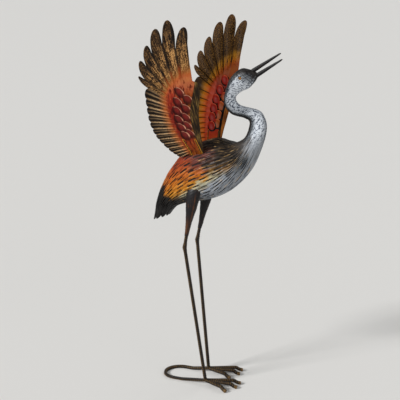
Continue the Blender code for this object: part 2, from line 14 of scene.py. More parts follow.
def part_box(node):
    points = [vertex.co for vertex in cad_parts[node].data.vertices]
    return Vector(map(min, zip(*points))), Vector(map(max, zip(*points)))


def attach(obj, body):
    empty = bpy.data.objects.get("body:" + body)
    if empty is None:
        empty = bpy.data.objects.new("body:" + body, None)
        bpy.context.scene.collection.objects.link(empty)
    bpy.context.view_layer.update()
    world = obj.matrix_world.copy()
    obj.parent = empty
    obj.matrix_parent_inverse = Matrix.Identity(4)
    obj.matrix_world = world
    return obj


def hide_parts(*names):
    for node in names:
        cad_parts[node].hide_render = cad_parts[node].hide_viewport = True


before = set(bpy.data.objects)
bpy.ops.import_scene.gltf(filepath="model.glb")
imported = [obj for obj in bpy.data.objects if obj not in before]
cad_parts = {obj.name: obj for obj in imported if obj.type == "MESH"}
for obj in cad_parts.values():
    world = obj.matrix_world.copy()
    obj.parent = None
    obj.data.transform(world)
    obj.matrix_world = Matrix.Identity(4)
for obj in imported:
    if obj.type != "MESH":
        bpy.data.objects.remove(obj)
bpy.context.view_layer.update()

# part.py measures forward from the stance, where the heel loop's rear is at loopRear;
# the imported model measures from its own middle
loopRear = -0.124
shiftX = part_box("heel_loop")[0].x - loopRear
print("stage: frame loaded")


# Small tools

def hexColor(code):
    parts = [int(code[i:i + 2], 16) / 255 for i in (1, 3, 5)]
    linear = [p / 12.92 if p <= 0.04045 else ((p + 0.055) / 1.055) ** 2.4 for p in parts]
    return (*linear, 1.0)


nodeKinds = {  # short word: node, the sockets its values go to in turn, the socket it gives, its settings
    "mix": ("ShaderNodeMix", (0, 6, 7), 2, {"data_type": "RGBA"}),
    "tint": ("ShaderNodeMix", (0, 6, 7), 2, {"data_type": "RGBA", "blend_type": "MULTIPLY"}),
    "gamma": ("ShaderNodeGamma", ("Color", "Gamma"), 0, {}),
    "ramp": ("ShaderNodeValToRGB", (0,), 0, {}),
    "times": ("ShaderNodeMath", (0, 1), 0, {"operation": "MULTIPLY"}),
    "timesPlus": ("ShaderNodeMath", (0, 1, 2), 0, {"operation": "MULTIPLY_ADD"}),
    "minus": ("ShaderNodeMath", (0, 1), 0, {"operation": "SUBTRACT"}),
    "larger": ("ShaderNodeMath", (0, 1), 0, {"operation": "MAXIMUM"}),
    "power": ("ShaderNodeMath", (0, 1), 0, {"operation": "POWER"}),
    "zigzag": ("ShaderNodeMath", (0, 1), 0, {"operation": "PINGPONG"}),
    "step": ("ShaderNodeMapRange", (0, 1, 2, 3, 4), 0, {"interpolation_type": "SMOOTHSTEP"}),
    "noise": ("ShaderNodeTexNoise", ("Vector", "Scale", "Detail", "Roughness"), 0, {}),
    "stretch": ("ShaderNodeMapping", ("Vector", "Scale"), 0, {}),
    "split": ("ShaderNodeSeparateXYZ", (0,), 0, {}),
    "attribute": ("ShaderNodeAttribute", (), 2, {}),
    "place": ("ShaderNodeTexCoord", (), 3, {}),
    "bump": ("ShaderNodeBump", ("Height", "Strength", "Distance"), 0, {}),
    "circle": ("GeometryNodeCurvePrimitiveCircle", ("Resolution", "Radius"), 0, {}),
    "sweep": ("GeometryNodeCurveToMesh", ("Curve", "Profile Curve", "Scale", "Fill Caps"), 0, {}),
    "move": ("GeometryNodeTransform", ("Geometry", "Rotation", "Translation"), 0, {}),
    "store": ("GeometryNodeStoreNamedAttribute", ("Geometry", "Name", "Value"), 0,
              {"data_type": "FLOAT", "domain": "POINT"}),
    "points": ("GeometryNodeCurveToPoints", ("Curve", "Length"), "Points", {"mode": "LENGTH"}),
    "merge": ("GeometryNodeJoinGeometry", (0,), 0, {}),
}


def addNode(tree, kind, *values, give=None, stops=None, **settings):
    idName, sockets, usual, basics = nodeKinds.get(kind, (kind, (), 0, {}))
    node = tree.nodes.new(idName)
    for name, value in {**basics, **settings}.items():
        setattr(node, name, value)
    pairs = values[0].items() if values and isinstance(values[0], dict) else zip(sockets, values)
    for socket, value in pairs:
        if isinstance(value, (bpy.types.NodeSocket, list)):
            for one in value if isinstance(value, list) else [value]:
                tree.links.new(one, node.inputs[socket])
        else:
            isColor = isinstance(value, str) and value[0] == "#"
            node.inputs[socket].default_value = hexColor(value) if isColor else value
    if stops:
        ends = node.color_ramp.elements
        places = list(stops)
        for end, place in ((ends[0], places[0]), (ends[1], places[-1])):
            end.position, end.color = place, hexColor(stops[place])
        for place in places[1:-1]:
            ends.new(place).color = hexColor(stops[place])
    return node.outputs[usual if give is None else give]


def startMaterial(name, shine, coat, coatRoughness):
    material = bpy.data.materials.new(name)
    material.use_nodes = True
    shader = material.node_tree.nodes["Principled BSDF"]
    gloss = {"Specular IOR Level": shine, "Coat Weight": coat, "Coat Roughness": coatRoughness}
    for socket, value in gloss.items():
        shader.inputs[socket].default_value = value
    return material, shader, partial(addNode, material.node_tree)


def finishMaterial(material, shader, color, roughness, height, strength, distance):
    tree = material.node_tree
    bump = addNode(tree, "bump", height, strength, distance)
    for value, socket in ((color, "Base Color"), (roughness, "Roughness"), (bump, "Normal")):
        tree.links.new(value, shader.inputs[socket])
    return material


def repeats(sizes, unit=(1000, 1000, 1000)):
    # how often a pattern repeats along each axis, from its grains' size and the axis's unit, both in mm
    return tuple(whole / size if size else 0 for whole, size in zip(unit, sizes))


def randomOf(*keys):
    # the same share between 0 and 1 for the same keys, on whole arrays
    total = sum(np.asarray(key, float) * (12.9898 + 65.17 * i) for i, key in enumerate(keys))
    return np.modf(np.abs(np.sin(total) * 43758.5453))[0]


def ease(low, high, values):
    t = np.clip((np.asarray(values, float) - low) / (high - low), 0, 1)
    return t * t * (3 - 2 * t)


def bell(values, width):
    return np.exp(-((np.asarray(values, float) / width) ** 2))


def bellRound(turn, middle, width):
    # a bell over an angle, wrapped round the full turn
    return bell(np.angle(np.exp(1j * (turn - middle))), width)


def splineAt(points, places):
    # Catmull-Rom curve through the points; a place is counted in points
    table = np.array(points, float)
    table = np.vstack([2 * table[0] - table[1], table, 2 * table[-1] - table[-2]])
    places = np.asarray(places, float)
    span = np.clip(places.astype(int), 0, len(table) - 4)
    t = (places - span)[..., None]
    a, b, c, d = (table[span + i] for i in range(4))
    return 0.5 * (2 * b + (c - a) * t + (2 * a - 5 * b + 4 * c - d) * t**2 + (3 * b - a - 3 * c + d) * t**3)


def link(name, data):
    thing = bpy.data.objects.new(name, data)
    bpy.context.scene.collection.objects.link(thing)
    return thing


def makePiece(name, verts, faces, material, attributes, sharpAngle):
    mesh = bpy.data.meshes.new(name)
    mesh.from_pydata(np.asarray(verts).tolist(), [], faces)
    bm = bmesh.new()
    bm.from_mesh(mesh)
    bmesh.ops.recalc_face_normals(bm, faces=bm.faces)
    bm.to_mesh(mesh)
    bm.free()
    for key, values in attributes.items():
        values = np.asarray(values, np.float32)
        flat = values.ndim == 1
        store = mesh.attributes.new(key, "FLOAT" if flat else "FLOAT_VECTOR", "POINT")
        store.data.foreach_set("value" if flat else "vector", values.ravel())
    mesh.materials.append(material)
    mesh.shade_smooth()
    mesh.set_sharp_from_angle(angle=math.radians(sharpAngle))
    return link(name, mesh)


def ringFaces(loops, closed=True):
    # faces between rings of the same number of points, and a cap on the first and the last ring
    faces = []
    for one, other in zip(loops, loops[1:]):
        n = len(one)
        faces += [(one[i], one[(i + 1) % n], other[(i + 1) % n], other[i]) for i in range(n)]
    if closed:
        faces += [tuple(reversed(loops[0])), tuple(loops[-1])]
    return faces


def dress(piece, slot, *nodes):
    if nodes:
        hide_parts(*nodes)
    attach(piece, "root")


# Stage: floor, lamps and camera

studio = {
    "cameraPlace": (1.142 + shiftX, -2.691, 1.265),
    "cameraAim": (shiftX, 0, 0.590),
    "lens": 86.67,
    "floorHalf": 60,
    "floorColor": "#e4e2de",
    "skyColor": "#eef1f4",
    "skyStrength": 0.32,
    "suns": (  # name, where it shines from, power, width of its disk in degrees
        ("keySun", (-0.75, -1.0, 0.72), 3.1, 16),
        ("fillSun", (1.0, -0.6, 0.4), 0.45, 40),
        ("rimSun", (0.2, 1.0, 0.9), 0.35, 30),
    ),
}


def aimAt(thing, target):
    thing.rotation_euler = (Vector(target) - thing.location).to_track_quat("-Z", "Y").to_euler()


def makeStudio():
    scene = bpy.context.scene
    scene.view_settings.view_transform = "Standard"  # paint chips keep the colours they are given
    camera = link("camera", bpy.data.cameras.new("camera"))
    camera.location = studio["cameraPlace"]
    camera.data.lens = studio["lens"]
    camera.data.sensor_width = 36
    aimAt(camera, studio["cameraAim"])
    scene.camera = camera

    for name, place, power, width in studio["suns"]:
        sun = link(name, bpy.data.lights.new(name, "SUN"))
        sun.data.energy = power
        sun.data.angle = math.radians(width)
        sun.location = place
        aimAt(sun, (0, 0, 0))
    world = bpy.data.worlds.new("softSky")
    scene.world = world
    world.use_nodes = True
    sky = world.node_tree.nodes["Background"]
    sky.inputs["Color"].default_value = hexColor(studio["skyColor"])
    sky.inputs["Strength"].default_value = studio["skyStrength"]

    material = bpy.data.materials.new("paleFloor")
    material.use_nodes = True
    shader = material.node_tree.nodes["Principled BSDF"]
    shader.inputs["Base Color"].default_value = hexColor(studio["floorColor"])
    shader.inputs["Roughness"].default_value = 0.85
    mesh = bpy.data.meshes.new("floor")
    half = studio["floorHalf"]
    corners = [(-half, -half, 0), (half, -half, 0), (half, half, 0), (-half, half, 0)]
    mesh.from_pydata(corners, [], [(0, 1, 2, 3)])
    mesh.materials.append(material)
    link("floor", mesh)


makeStudio()
print("stage: studio")


# Materials

bodyFinish = {
    "cloud": (38, 17, 1000),  # sizes of the patterns in mm: along the bird, round it
    "stroke": (33, 4.3, 1000),
    "hair": (14, 1.4, 1000),
    "dab": (4.2, 9.5, 1000),
    "grain": (1.1, 1.1, 1000),
    "shade": "#4f4038",
    "sand": "#dcbb88",
    "dabBlue": "#454e62",
    "ink": "#120e0d",
    "paints": {
        "black": "#141110",
        "soot": "#24201d",
        "charcoal": "#3b3734",
        "umber": "#483b2d",
        "plum": "#7c463a",
        "chestnut": "#7a3d22",
        "rust": "#923c18",
        "orange": "#b05a20",
        "amber": "#c07622",
        "gold": "#c4902c",
        "ochre": "#876630",
        "straw": "#b8b49c",
        "slate": "#63696e",
        "silver": "#a5aab1",
        "pearl": "#d2d8df",
        "white": "#dfe5eb",
    },
    "bands": (  # airbrushed one into the next: where along the bird, the paints from its back to its belly
        (0.116, {0: "black", 0.5: "soot", 1: "black"}),
        # the black towards the belly in this band and the next is painted shade under the rear of the body,
        # between the tail and the thighs
        (0.145, {0: "ochre", 0.3: "amber", 0.55: "gold", 0.62: "ochre", 0.68: "soot", 1: "black"}),
        (0.200, {0: "chestnut", 0.2: "orange", 0.38: "amber", 0.6: "gold", 0.66: "straw", 0.72: "charcoal",
                 1: "black"}),
        (0.270, {0: "chestnut", 0.2: "rust", 0.33: "orange", 0.47: "amber", 0.57: "gold", 0.63: "straw",
                 0.72: "silver", 1: "slate"}),
        (0.330, {0: "chestnut", 0.28: "plum", 0.42: "plum", 0.5: "amber", 0.56: "gold", 0.61: "straw",
                 0.68: "silver", 1: "silver"}),
        (0.380, {0: "umber", 0.2: "umber", 0.32: "plum", 0.44: "umber", 0.53: "ochre", 0.59: "straw",
                 0.66: "silver", 1: "silver"}),
        (0.440, {0: "umber", 0.48: "umber", 0.56: "ochre", 0.63: "silver", 1: "silver"}),
        # the charcoal in the middle of this band and the next is painted shade where the neck leaves the
        # chest
        (0.510, {0: "charcoal", 0.3: "umber", 0.58: "charcoal", 0.7: "slate", 0.85: "silver", 1: "silver"}),
        (0.560, {0: "soot", 0.25: "charcoal", 0.48: "charcoal", 0.64: "silver", 0.8: "silver", 1: "slate"}),
        (0.630, {0: "black", 0.3: "soot", 0.42: "slate", 0.52: "pearl", 0.8: "white", 0.93: "silver",
                 1: "slate"}),
        (0.720, {0: "black", 0.33: "black", 0.42: "slate", 0.5: "pearl", 0.82: "white", 0.95: "silver",
                 1: "silver"}),
        (0.840, {0: "black", 0.28: "black", 0.36: "slate", 0.46: "pearl", 0.85: "white", 1: "silver"}),
        (0.930, {0: "charcoal", 0.2: "charcoal", 0.3: "slate", 0.38: "pearl", 0.85: "white", 1: "silver"}),
        (0.962, {0: "soot", 0.32: "charcoal", 0.5: "slate", 0.8: "silver", 1: "slate"}),
        (0.985, {0: "black", 0.5: "soot", 1: "black"}),
    ),
}


def bodyEnamel():
    # Airbrushed enamel on pressed steel, black wiped into the slashes and light paint dry-brushed over the
    # ridges: colours fade softly along the bird under a satin sheen, broken up by feather strokes, with
    # painted shade under the rear of the body and where the neck leaves the chest.
    material, shader, add = startMaterial("airbrushedBodyEnamel", 0.2, 0.05, 0.25)
    along, around, slash, crest, crease = (
        add("attribute", attribute_name=name) for name in ("along", "around", "slash", "crest", "crease")
    )
    flow, girth = (add("attribute", attribute_name=name, give=1) for name in ("flow", "girth"))
    cloud, strokes, hairs, dabs, grain = (
        add("noise", add("stretch", over, repeats(bodyFinish[name])), 1.0, detail, roughness)
        for over, name, detail, roughness in (
            (flow, "cloud", 2.0, 0.5),
            (flow, "stroke", 3.0, 0.6),
            (flow, "hair", 3.0, 0.7),
            (girth, "dab", 3.0, 0.6),
            (girth, "grain", 3.0, 0.7),
        )
    )
    drift, pull = (add("minus", pattern, 0.5) for pattern in (cloud, strokes))
    alongSoft = add("timesPlus", pull, 0.08, add("timesPlus", drift, 0.10, along))
    aroundSoft = add("timesPlus", pull, 0.22, add("timesPlus", drift, 0.13, around))

    paints, bands = bodyFinish["paints"], bodyFinish["bands"]
    for i, (place, stops) in enumerate(bands):
        band = add("ramp", aroundSoft, stops={share: paints[word] for share, word in stops.items()})
        color = add("mix", add("step", alongSoft, bands[i - 1][0], place), color, band) if i else band

    torso = add("step", along, 0.52, 0.60, 1.0, 0.0)
    neck = add("step", along, 0.53, 0.62)
    # dark strokes between the feathers, then light ones along their ridges
    dark = add("times", add("times", add("step", strokes, 0.50, 0.38), torso), 0.62)
    color = add("tint", dark, color, bodyFinish["shade"])
    light = add("times", add("step", strokes, 0.54, 0.66), torso)
    light = add("times", light, add("step", hairs, 0.40, 0.56))
    light = add("times", light, add("step", crest, 0.1, 0.6, 0.25, 0.7))
    light = add("times", light, add("step", along, 0.11, 0.16, 0.15, 1.0))
    color = add("mix", light, color, bodyFinish["sand"])
    # short blue-black dabs across the neck
    dabbed = add("times", add("step", add("timesPlus", crease, 0.08, dabs), 0.55, 0.61), neck)
    color = add("tint", add("times", dabbed, 0.92), color, bodyFinish["dabBlue"])
    # the torso's glazes are thicker, so its colours are deeper
    color = add("gamma", color, add("step", along, 0.44, 0.58, 1.36, 1.0))
    # black wiped into the slashes
    color = add("mix", add("step", slash, 0.17, 0.40), color, bodyFinish["ink"])
    height = add("timesPlus", strokes, 0.8, add("times", grain, 0.3))
    dull = add("step", grain, 0.3, 0.7, 0.38, 0.56)
    return finishMaterial(material, shader, color, dull, height, 0.5, 0.0009)


wingFinish = {
    "plate": (443, 443, 443),  # mm in one unit of the plate's coordinates, and of a feather's: across, along
    "feather": (36, 200, 1),
    "cloud": (20, 20, 0),  # sizes of the patterns in mm
    "blotch": (15, 22, 0),
    "barb": (4, 57, 0),
    "speck": (3, 4.2, 0),
    "smear": (6.3, 28, 0),
    "rub": (3.7, 40, 0),
    # outside, from the roots to the tips, from the shoulder to the wrist, or from unrubbed to rubbed
    "longOut": {0: "#b05c34", 0.06: "#b06838", 0.13: "#9c6838", 0.24: "#70502e", 0.50: "#46321c",
                0.78: "#35261a", 1: "#281b12"},
    "goldOut": {0: "#303030", 0.10: "#a0a0a0", 0.20: "#ffffff", 0.62: "#f0f0f0", 0.78: "#a8a8a8",
                1: "#8a8a8a"},
    "shortOut": {0: "#8e4320", 0.12: "#a86230", 0.26: "#7d562f", 0.40: "#3c2c1e", 0.8: "#261c15",
                 1: "#221712"},
    "creamOut": {0: "#c07a4c", 0.2: "#d0966a", 0.45: "#c9ab84", 0.8: "#a58c6c", 1: "#5e4836"},
    "armOut": {0: "#8c4a14", 0.08: "#9a4412", 0.17: "#8e2a12", 0.40: "#861e12", 0.48: "#a23c24",
               0.545: "#ba6e4c", 0.60: "#bc784e", 1: "#b8704c"},
    "scaleShadingOut": {0.1: "#2e0604", 0.45: "#560d08", 0.7: "#7c1a10", 1: "#a03422"},
    "flangeOut": {0: "#221912", 0.45: "#382a1a", 0.56: "#5e4a2c", 0.66: "#8e7444", 1: "#a88a54"},
    # inside
    "longIn": {0: "#8e4522", 0.09: "#a05e24", 0.17: "#a87628", 0.27: "#98722a", 0.36: "#5e4726",
               0.46: "#46341f", 0.8: "#4e3b26", 1: "#624a32"},
    "shortIn": {0: "#a64a30", 0.12: "#b2622a", 0.32: "#a87224", 0.46: "#7c5c28", 0.62: "#43331f",
                1: "#3a2a1c"},
    "armIn": {0: "#a0561e", 0.08: "#983c1c", 0.16: "#82281a", 0.46: "#7c2c1a", 0.53: "#8a4a28",
              0.64: "#905a26", 1: "#a4661a"},
    "flangeIn": {0: "#2a1c12", 0.42: "#6a4424", 0.6: "#96632e", 1: "#b58a50"},
}


def wingEnamel():
    # Translucent gloss enamel over pressed steel: red scales, orange roots, and brown feathers
    # dry-brushed with gold outside and airbrushed amber inside, black in every hollow.
    material, shader, add = startMaterial("layeredWingEnamel", 0.2, 0.0, 0.2)
    fan, plate = (add("attribute", attribute_name=name, give=1) for name in ("fan", "plate"))
    scaleTop, scaleEdge, scaleLit, innerFace, slitGap, groove = (
        add("attribute", attribute_name=name)
        for name in ("scaleTop", "scaleEdge", "scaleLit", "innerFace", "slitGap", "groove")
    )
    count, reach, primary = (add("split", fan, give=i) for i in range(3))
    ahead, rise, folded = (add("split", plate, give=i) for i in range(3))
    across = add("zigzag", count, 0.5)  # 0 on the line between two feathers, 0.5 on a feather's shaft
    cloud, blotch, barbs, speck, smear, rubbed = (
        add("noise", add("stretch", over, repeats(wingFinish[name], wingFinish[unit])), 1.0, detail, rough)
        for over, unit, name, detail, rough in (
            (plate, "plate", "cloud", 2.0, 0.5),
            (fan, "feather", "blotch", 3.0, 0.7),
            (fan, "feather", "barb", 4.0, 0.65),
            (plate, "plate", "speck", 4.0, 0.8),
            (plate, "plate", "smear", 3.0, 0.6),
            (plate, "plate", "rub", 3.0, 0.6),
        )
    )
    drift, pull = (add("minus", pattern, 0.5) for pattern in (cloud, barbs))
    reachSoft = add("timesPlus", pull, 0.26, add("timesPlus", drift, 0.12, reach))
    riseSoft = add("timesPlus", drift, 0.16, rise)
    aheadSoft = add("timesPlus", drift, 0.06, ahead)
    line = add("timesPlus", pull, 0.22, across)

    # outside: primaries with gold blotches and black hollows
    long = add("ramp", reachSoft, stops=wingFinish["longOut"])
    dots = add("timesPlus", barbs, 0.40, add("times", blotch, 0.25))
    dots = add("timesPlus", speck, 0.55, dots)
    gold = add("times", add("step", dots, 0.592, 0.65), add("ramp", reach, stops=wingFinish["goldOut"]))
    streak = add("times", add("step", barbs, 0.49, 0.41), add("step", reach, 0.04, 0.2))
    long = add("tint", add("times", streak, 0.7), long, "#54443a")
    long = add("mix", add("times", gold, 0.9), long, "#d0a36c")
    hollow = add("times", add("step", line, 0.17, 0.04), add("step", reachSoft, 0.12, 0.34))
    patches = add("times", add("step", blotch, 0.44, 0.34), add("step", reachSoft, 0.2, 0.4))
    hollow = add("larger", hollow, add("times", patches, 0.7))
    long = add("mix", add("times", hollow, 0.85), long, "#1d1610")
    rootLine = add("times", add("step", line, 0.15, 0.03), add("step", reach, 0.34, 0.16))
    long = add("mix", add("times", rootLine, 0.75), long, "#9a4a1a")

    # outside: secondaries, cream on every ridge and black between
    short = add("ramp", reachSoft, stops=wingFinish["shortOut"])
    shaft = add("step", add("minus", line, 0.5), -0.13, -0.04, 0, 0.6)
    ridge = add("larger", add("step", line, 0.15, 0.05), shaft)
    ridge = add("times", ridge, add("step", speck, 0.36, 0.47))
    short = add("tint", streak, short, "#3c2c22")
    short = add("mix", add("times", ridge, 0.95), short, add("ramp", reach, stops=wingFinish["creamOut"]))
    outer = add("mix", primary, short, long)

    # outside: the arm with its scales, each darker towards its edge and lighter towards its middle and upper
    # side as painted shade and highlight
    arm = add("ramp", riseSoft, stops=wingFinish["armOut"])
    amber = add("times", add("step", aheadSoft, 0.034, 0.062), add("step", rise, 0.56, 0.44))
    arm = add("mix", add("times", amber, 0.85), arm, "#9a5c1a")
    arm = add("tint", add("step", smear, 0.50, 0.36), arm, "#94604e")
    arm = add("mix", add("times", add("step", smear, 0.55, 0.68), 0.45), arm, "#d08a50")
    # painted shade towards each scale's edge, lightening to a painted highlight at its top
    shadedDomes = add("ramp", scaleTop, stops=wingFinish["scaleShadingOut"])
    arm = add("mix", add("step", scaleTop, 0.05, 0.3, 0, 0.9), arm, shadedDomes)
    # each scale's dark lower edge: outline paint, partly painted shadow
    arm = add("mix", add("times", scaleEdge, 0.8), arm, "#220604")
    # painted highlight on each scale's rim
    arm = add("mix", scaleLit, arm, "#f0b496")
    outer = add("mix", add("step", reachSoft, 0.06, -0.05), outer, arm)
    flange = add("ramp", rubbed, stops=wingFinish["flangeOut"])
    outer = add("mix", add("step", folded, -0.003, 0.004), outer, flange)

    # inside: primaries and secondaries
    long = add("ramp", reachSoft, stops=wingFinish["longIn"])
    dust = add("times", add("step", speck, 0.50, 0.60), add("step", reach, 0.25, 0.6, 0.1, 0.65))
    long = add("tint", add("step", speck, 0.48, 0.38), long, "#6e6058")
    long = add("tint", streak, long, "#6a5a50")
    long = add("mix", dust, long, "#a8854e")
    inner = add("mix", primary, add("ramp", reachSoft, stops=wingFinish["shortIn"]), long)

    # inside: the arm, its scales between black lines (partly painted shadow on their lower sides), each with
    # a painted highlight on its rim
    arm = add("ramp", riseSoft, stops=wingFinish["armIn"])
    arm = add("mix", add("times", add("step", ahead, -0.030, -0.052), 0.8), arm, "#b2543c")
    second = add("times", add("step", ahead, 0.012, 0.026), add("step", rise, 0.44, 0.36))
    scales = add("mix", second, "#8a2414", "#94542a")
    # painted highlight on each scale's rim
    scales = add("mix", add("times", scaleLit, 0.6), scales, "#dc8468")
    arm = add("mix", add("step", scaleTop, 0.02, 0.2), arm, scales)
    arm = add("mix", add("step", scaleEdge, 0.12, 0.45), arm, "#100705")
    inner = add("mix", add("step", reachSoft, 0.05, -0.06), inner, arm)
    inner = add("mix", add("times", add("step", groove, 0.2, 0.7), 0.9), inner, "#1c130d")
    flange = add("ramp", rubbed, stops=wingFinish["flangeIn"])
    inner = add("mix", add("step", folded, 0.004, 0.010), inner, flange)
    fold = add("times", add("step", folded, -0.016, -0.006), add("step", folded, 0.012, 0.004))
    inner = add("mix", add("times", fold, add("step", rise, 0.58, 0.50)), inner, "#140f0c")

    outer = add("gamma", outer, 1.22)
    inner = add("tint", 1.0, add("gamma", inner, 1.25), "#dad4cf")
    color = add("mix", innerFace, outer, inner)
    # each slit is painted as a black line, the painted shadow of the open gap; on the wing's outside it has a
    # yellow edge
    yellow = add("times", add("step", slitGap, 3.6, 2.6), add("step", innerFace, 0, 1, 1.0, 0.15))
    color = add("mix", yellow, color, "#d09024")
    color = add("mix", add("step", slitGap, 2.0, 1.3), color, "#0e0a08")
    shine = add("times", add("step", scaleTop, 0.2, 0.7, 0.12, 0.22), add("step", innerFace, 0, 1, 1.0, 0.2))
    material.node_tree.links.new(shine, shader.inputs["Specular IOR Level"])
    height = add("timesPlus", barbs, 0.9, add("times", speck, 0.4))
    dull = add("step", speck, 0.3, 0.7, 0.30, 0.48)
    return finishMaterial(material, shader, color, dull, height, 0.5, 0.0008)


def rubbedEnamel(name, base, rub, amount, roughness, rubSize):
    # Brown-black enamel brushed over steel and rubbed back along its edges, where warm metal-coloured paint
    # shows. The size of a rubbed spot is in mm, and the spots gather in patches of 36 mm.
    material, shader, add = startMaterial(name, 0.22, 0.04, 0.25)
    place, worn = add("place"), add("attribute", attribute_name="worn")
    fine = add("noise", add("stretch", place, repeats(rubSize)), 1.0, 4.0, 0.7)
    broad = add("noise", place, 1000 / 36, 2.0, 0.5)
    spots = add("times", add("times", add("step", fine, 0.52, 0.68), add("step", broad, 0.36, 0.6)), amount)
    edges = add("times", worn, add("step", fine, 0.34, 0.54))
    color = add("mix", add("larger", spots, edges), base, rub)
    dull = add("step", fine, 0.3, 0.7, roughness, roughness + 0.16)
    return finishMaterial(material, shader, color, dull, fine, 0.35, 0.0006)


def eyeEnamel():
    # Glossy painted eye: black pupil, brown and gold ring, dark lid; dust of 0.8 mm under the gloss.
    material, shader, add = startMaterial("glossEyeEnamel", 0.5, 0.6, 0.05)
    stops = {0: "#0c0806", 0.30: "#140c08", 0.38: "#a05a18", 0.58: "#dc9834", 0.76: "#a87028",
             0.82: "#171212", 1: "#3a3638"}
    color = add("ramp", add("attribute", attribute_name="ring"), stops=stops)
    grain = add("noise", add("place"), 1000 / 0.8, 2.0, 0.5)
    dull = add("step", grain, 0.3, 0.7, 0.16, 0.28)
    return finishMaterial(material, shader, color, dull, grain, 0.1, 0.0001)


bodyPaint = bodyEnamel()
wingPaint = wingEnamel()
beakPaint = rubbedEnamel("blackBeakEnamel", "#0b090a", "#3d2a25", 0.6, 0.42, (6.7, 6.7, 6.7))
thighPaint = rubbedEnamel("charcoalThighEnamel", "#141214", "#62391a", 0.55, 0.38, (5.9, 5.9, 38))
barPaint = rubbedEnamel("brownBarEnamel", "#120c08", "#7a5c30", 0.3, 0.42, (3.8, 3.8, 8.3))
eyePaint = eyeEnamel()
print("stage: materials")


# Body: torso, neck and head

craneBody = {
    "ribs": (  # back line x, z; belly line x, z; half width, as in part.py
        (-0.156, 0.520, -0.104, 0.538, 0.024),
        (-0.139, 0.590, -0.074, 0.568, 0.044),
        (-0.100, 0.674, -0.020, 0.586, 0.061),
        (-0.038, 0.748, 0.040, 0.600, 0.071),
        (0.045, 0.787, 0.108, 0.635, 0.070),
        (0.095, 0.782, 0.166, 0.697, 0.055),
        (0.120, 0.780, 0.202, 0.772, 0.034),
        (0.150, 0.800, 0.215, 0.831, 0.025),
        (0.163, 0.842, 0.203, 0.868, 0.021),
        (0.147, 0.855, 0.184, 0.882, 0.019),
        (0.104, 0.866, 0.131, 0.893, 0.017),
        (0.081, 0.895, 0.115, 0.914, 0.018),
        (0.085, 0.938, 0.133, 0.934, 0.019),
        (0.103, 0.977, 0.154, 0.944, 0.021),
        (0.134, 1.002, 0.175, 0.963, 0.020),
        (0.164, 1.000, 0.186, 0.981, 0.010),
    ),
    "roundness": 2.15,
    "neckFrom": 6.0,  # rib where the torso's fine rings end
    "torsoGap": 0.0020,
    "neckGap": 0.0024,
    "torsoSides": 360,  # twice the neck's
    "neckSides": 180,
    "featherRows": 23,
    "slashPitch": 0.048,
    "slashDepth": 0.0022,
    "fluteHeight": 0.0016,
    "lipHeight": 0.0008,
    "bellySlant": 0.9,
    "seamHeight": 0.0012,
    "seamWidth": 0.0017,
    "seamRipple": 0.0034,
    "dimpleSize": 0.0085,
    "dimpleDepth": 0.0006,
    "neckSwell": 0.0002,
    "plumes": 9,
    "plumeLength": 0.009,
    "plumeGroove": 0.0016,
    "sheet": 0.0031,
    "hollowTo": 1.5,  # rib where the open tail ends inside
    "noseLength": 0.006,
    "eyePlace": (0.137, 0.975),
    "eyeRadius": 0.0056,
    "eyeFlatness": 0.86,
    "eyeSides": 40,
    "eyeProfile": (  # share of the radius, height
        (0.02, 0.42), (0.2, 0.40), (0.4, 0.33), (0.6, 0.18), (0.70, 0.06),
        (0.76, 0.14), (0.86, 0.20), (0.95, 0.10), (1.02, -0.25),
    ),
}


def ringPoints(rib, angles, lift):
    back, belly = np.array([rib[0], 0, rib[1]]), np.array([rib[2], 0, rib[3]])
    middle = (back + belly) / 2
    up = back - middle
    depth = np.linalg.norm(up)
    up = up / depth
    c, s = np.cos(angles), np.sin(angles)
    power = 2 / craneBody["roundness"]
    rise = np.sign(c) * np.abs(c) ** power * depth
    side = np.sign(s) * np.abs(s) ** power * rib[4]
    scale = 1 + lift / np.hypot(rise, side)
    points = middle + np.outer(rise * scale, up) + np.outer(side * scale, (0, 1, 0))
    return points + (shiftX, 0, 0)


def featherRelief(along, lengthShare, share, side, place):
    # long slashes in rows from tail to chest, each row set off from the next;
    # on the belly the rows slant up forwards
    slanted = share + craneBody["bellySlant"] * max(lengthShare - 0.33, 0) * ease(0.5, 0.75, share)
    row = slanted * craneBody["featherRows"]
    nearest = np.round(row)
    key = nearest + 50 * side
    step = along / craneBody["slashPitch"] + randomOf(key, 3)
    cell = np.floor(step)
    within = step - cell
    start = 0.01 + 0.14 * randomOf(key, cell, 1)
    end = start + 0.60 + 0.25 * randomOf(key, cell, 2)
    window = ease(0, 1, (within - start) / 0.10) * ease(0, 1, (end - within) / 0.26)
    off = row - nearest - 0.34 * (randomOf(key, cell, 4) - 0.5) - 0.20 * (within - 0.5)
    strength = 0.45 + 0.55 * randomOf(key, cell, 5)
    slash = strength * window * bell(off, 0.17)
    crest = 0.5 - 0.5 * np.cos(2 * np.pi * row)
    lip = window * bell(np.abs(off) - 0.40, 0.15)
    fade = ease(0.25, 1.0, place) * ease(6.0, 4.9, place) * ease(0, 0.04, share) * ease(1, 0.97, share)
    lift = craneBody["fluteHeight"] * (crest - 0.5) + craneBody["lipHeight"] * lip
    lift = lift - craneBody["slashDepth"] * slash
    return lift * fade, slash * fade, np.maximum(crest * 0.6, lip) * fade, slanted


def hammered(points, amount):
    # creases between round hammer marks
    size = craneBody["dimpleSize"]
    crease = np.zeros(len(points))
    for i in np.nonzero(amount > 0.01)[0]:
        distances = noise.voronoi(Vector(points[i]) / size)[0]
        crease[i] = math.exp(-(((distances[1] - distances[0]) / 0.20) ** 2))
    return crease * amount


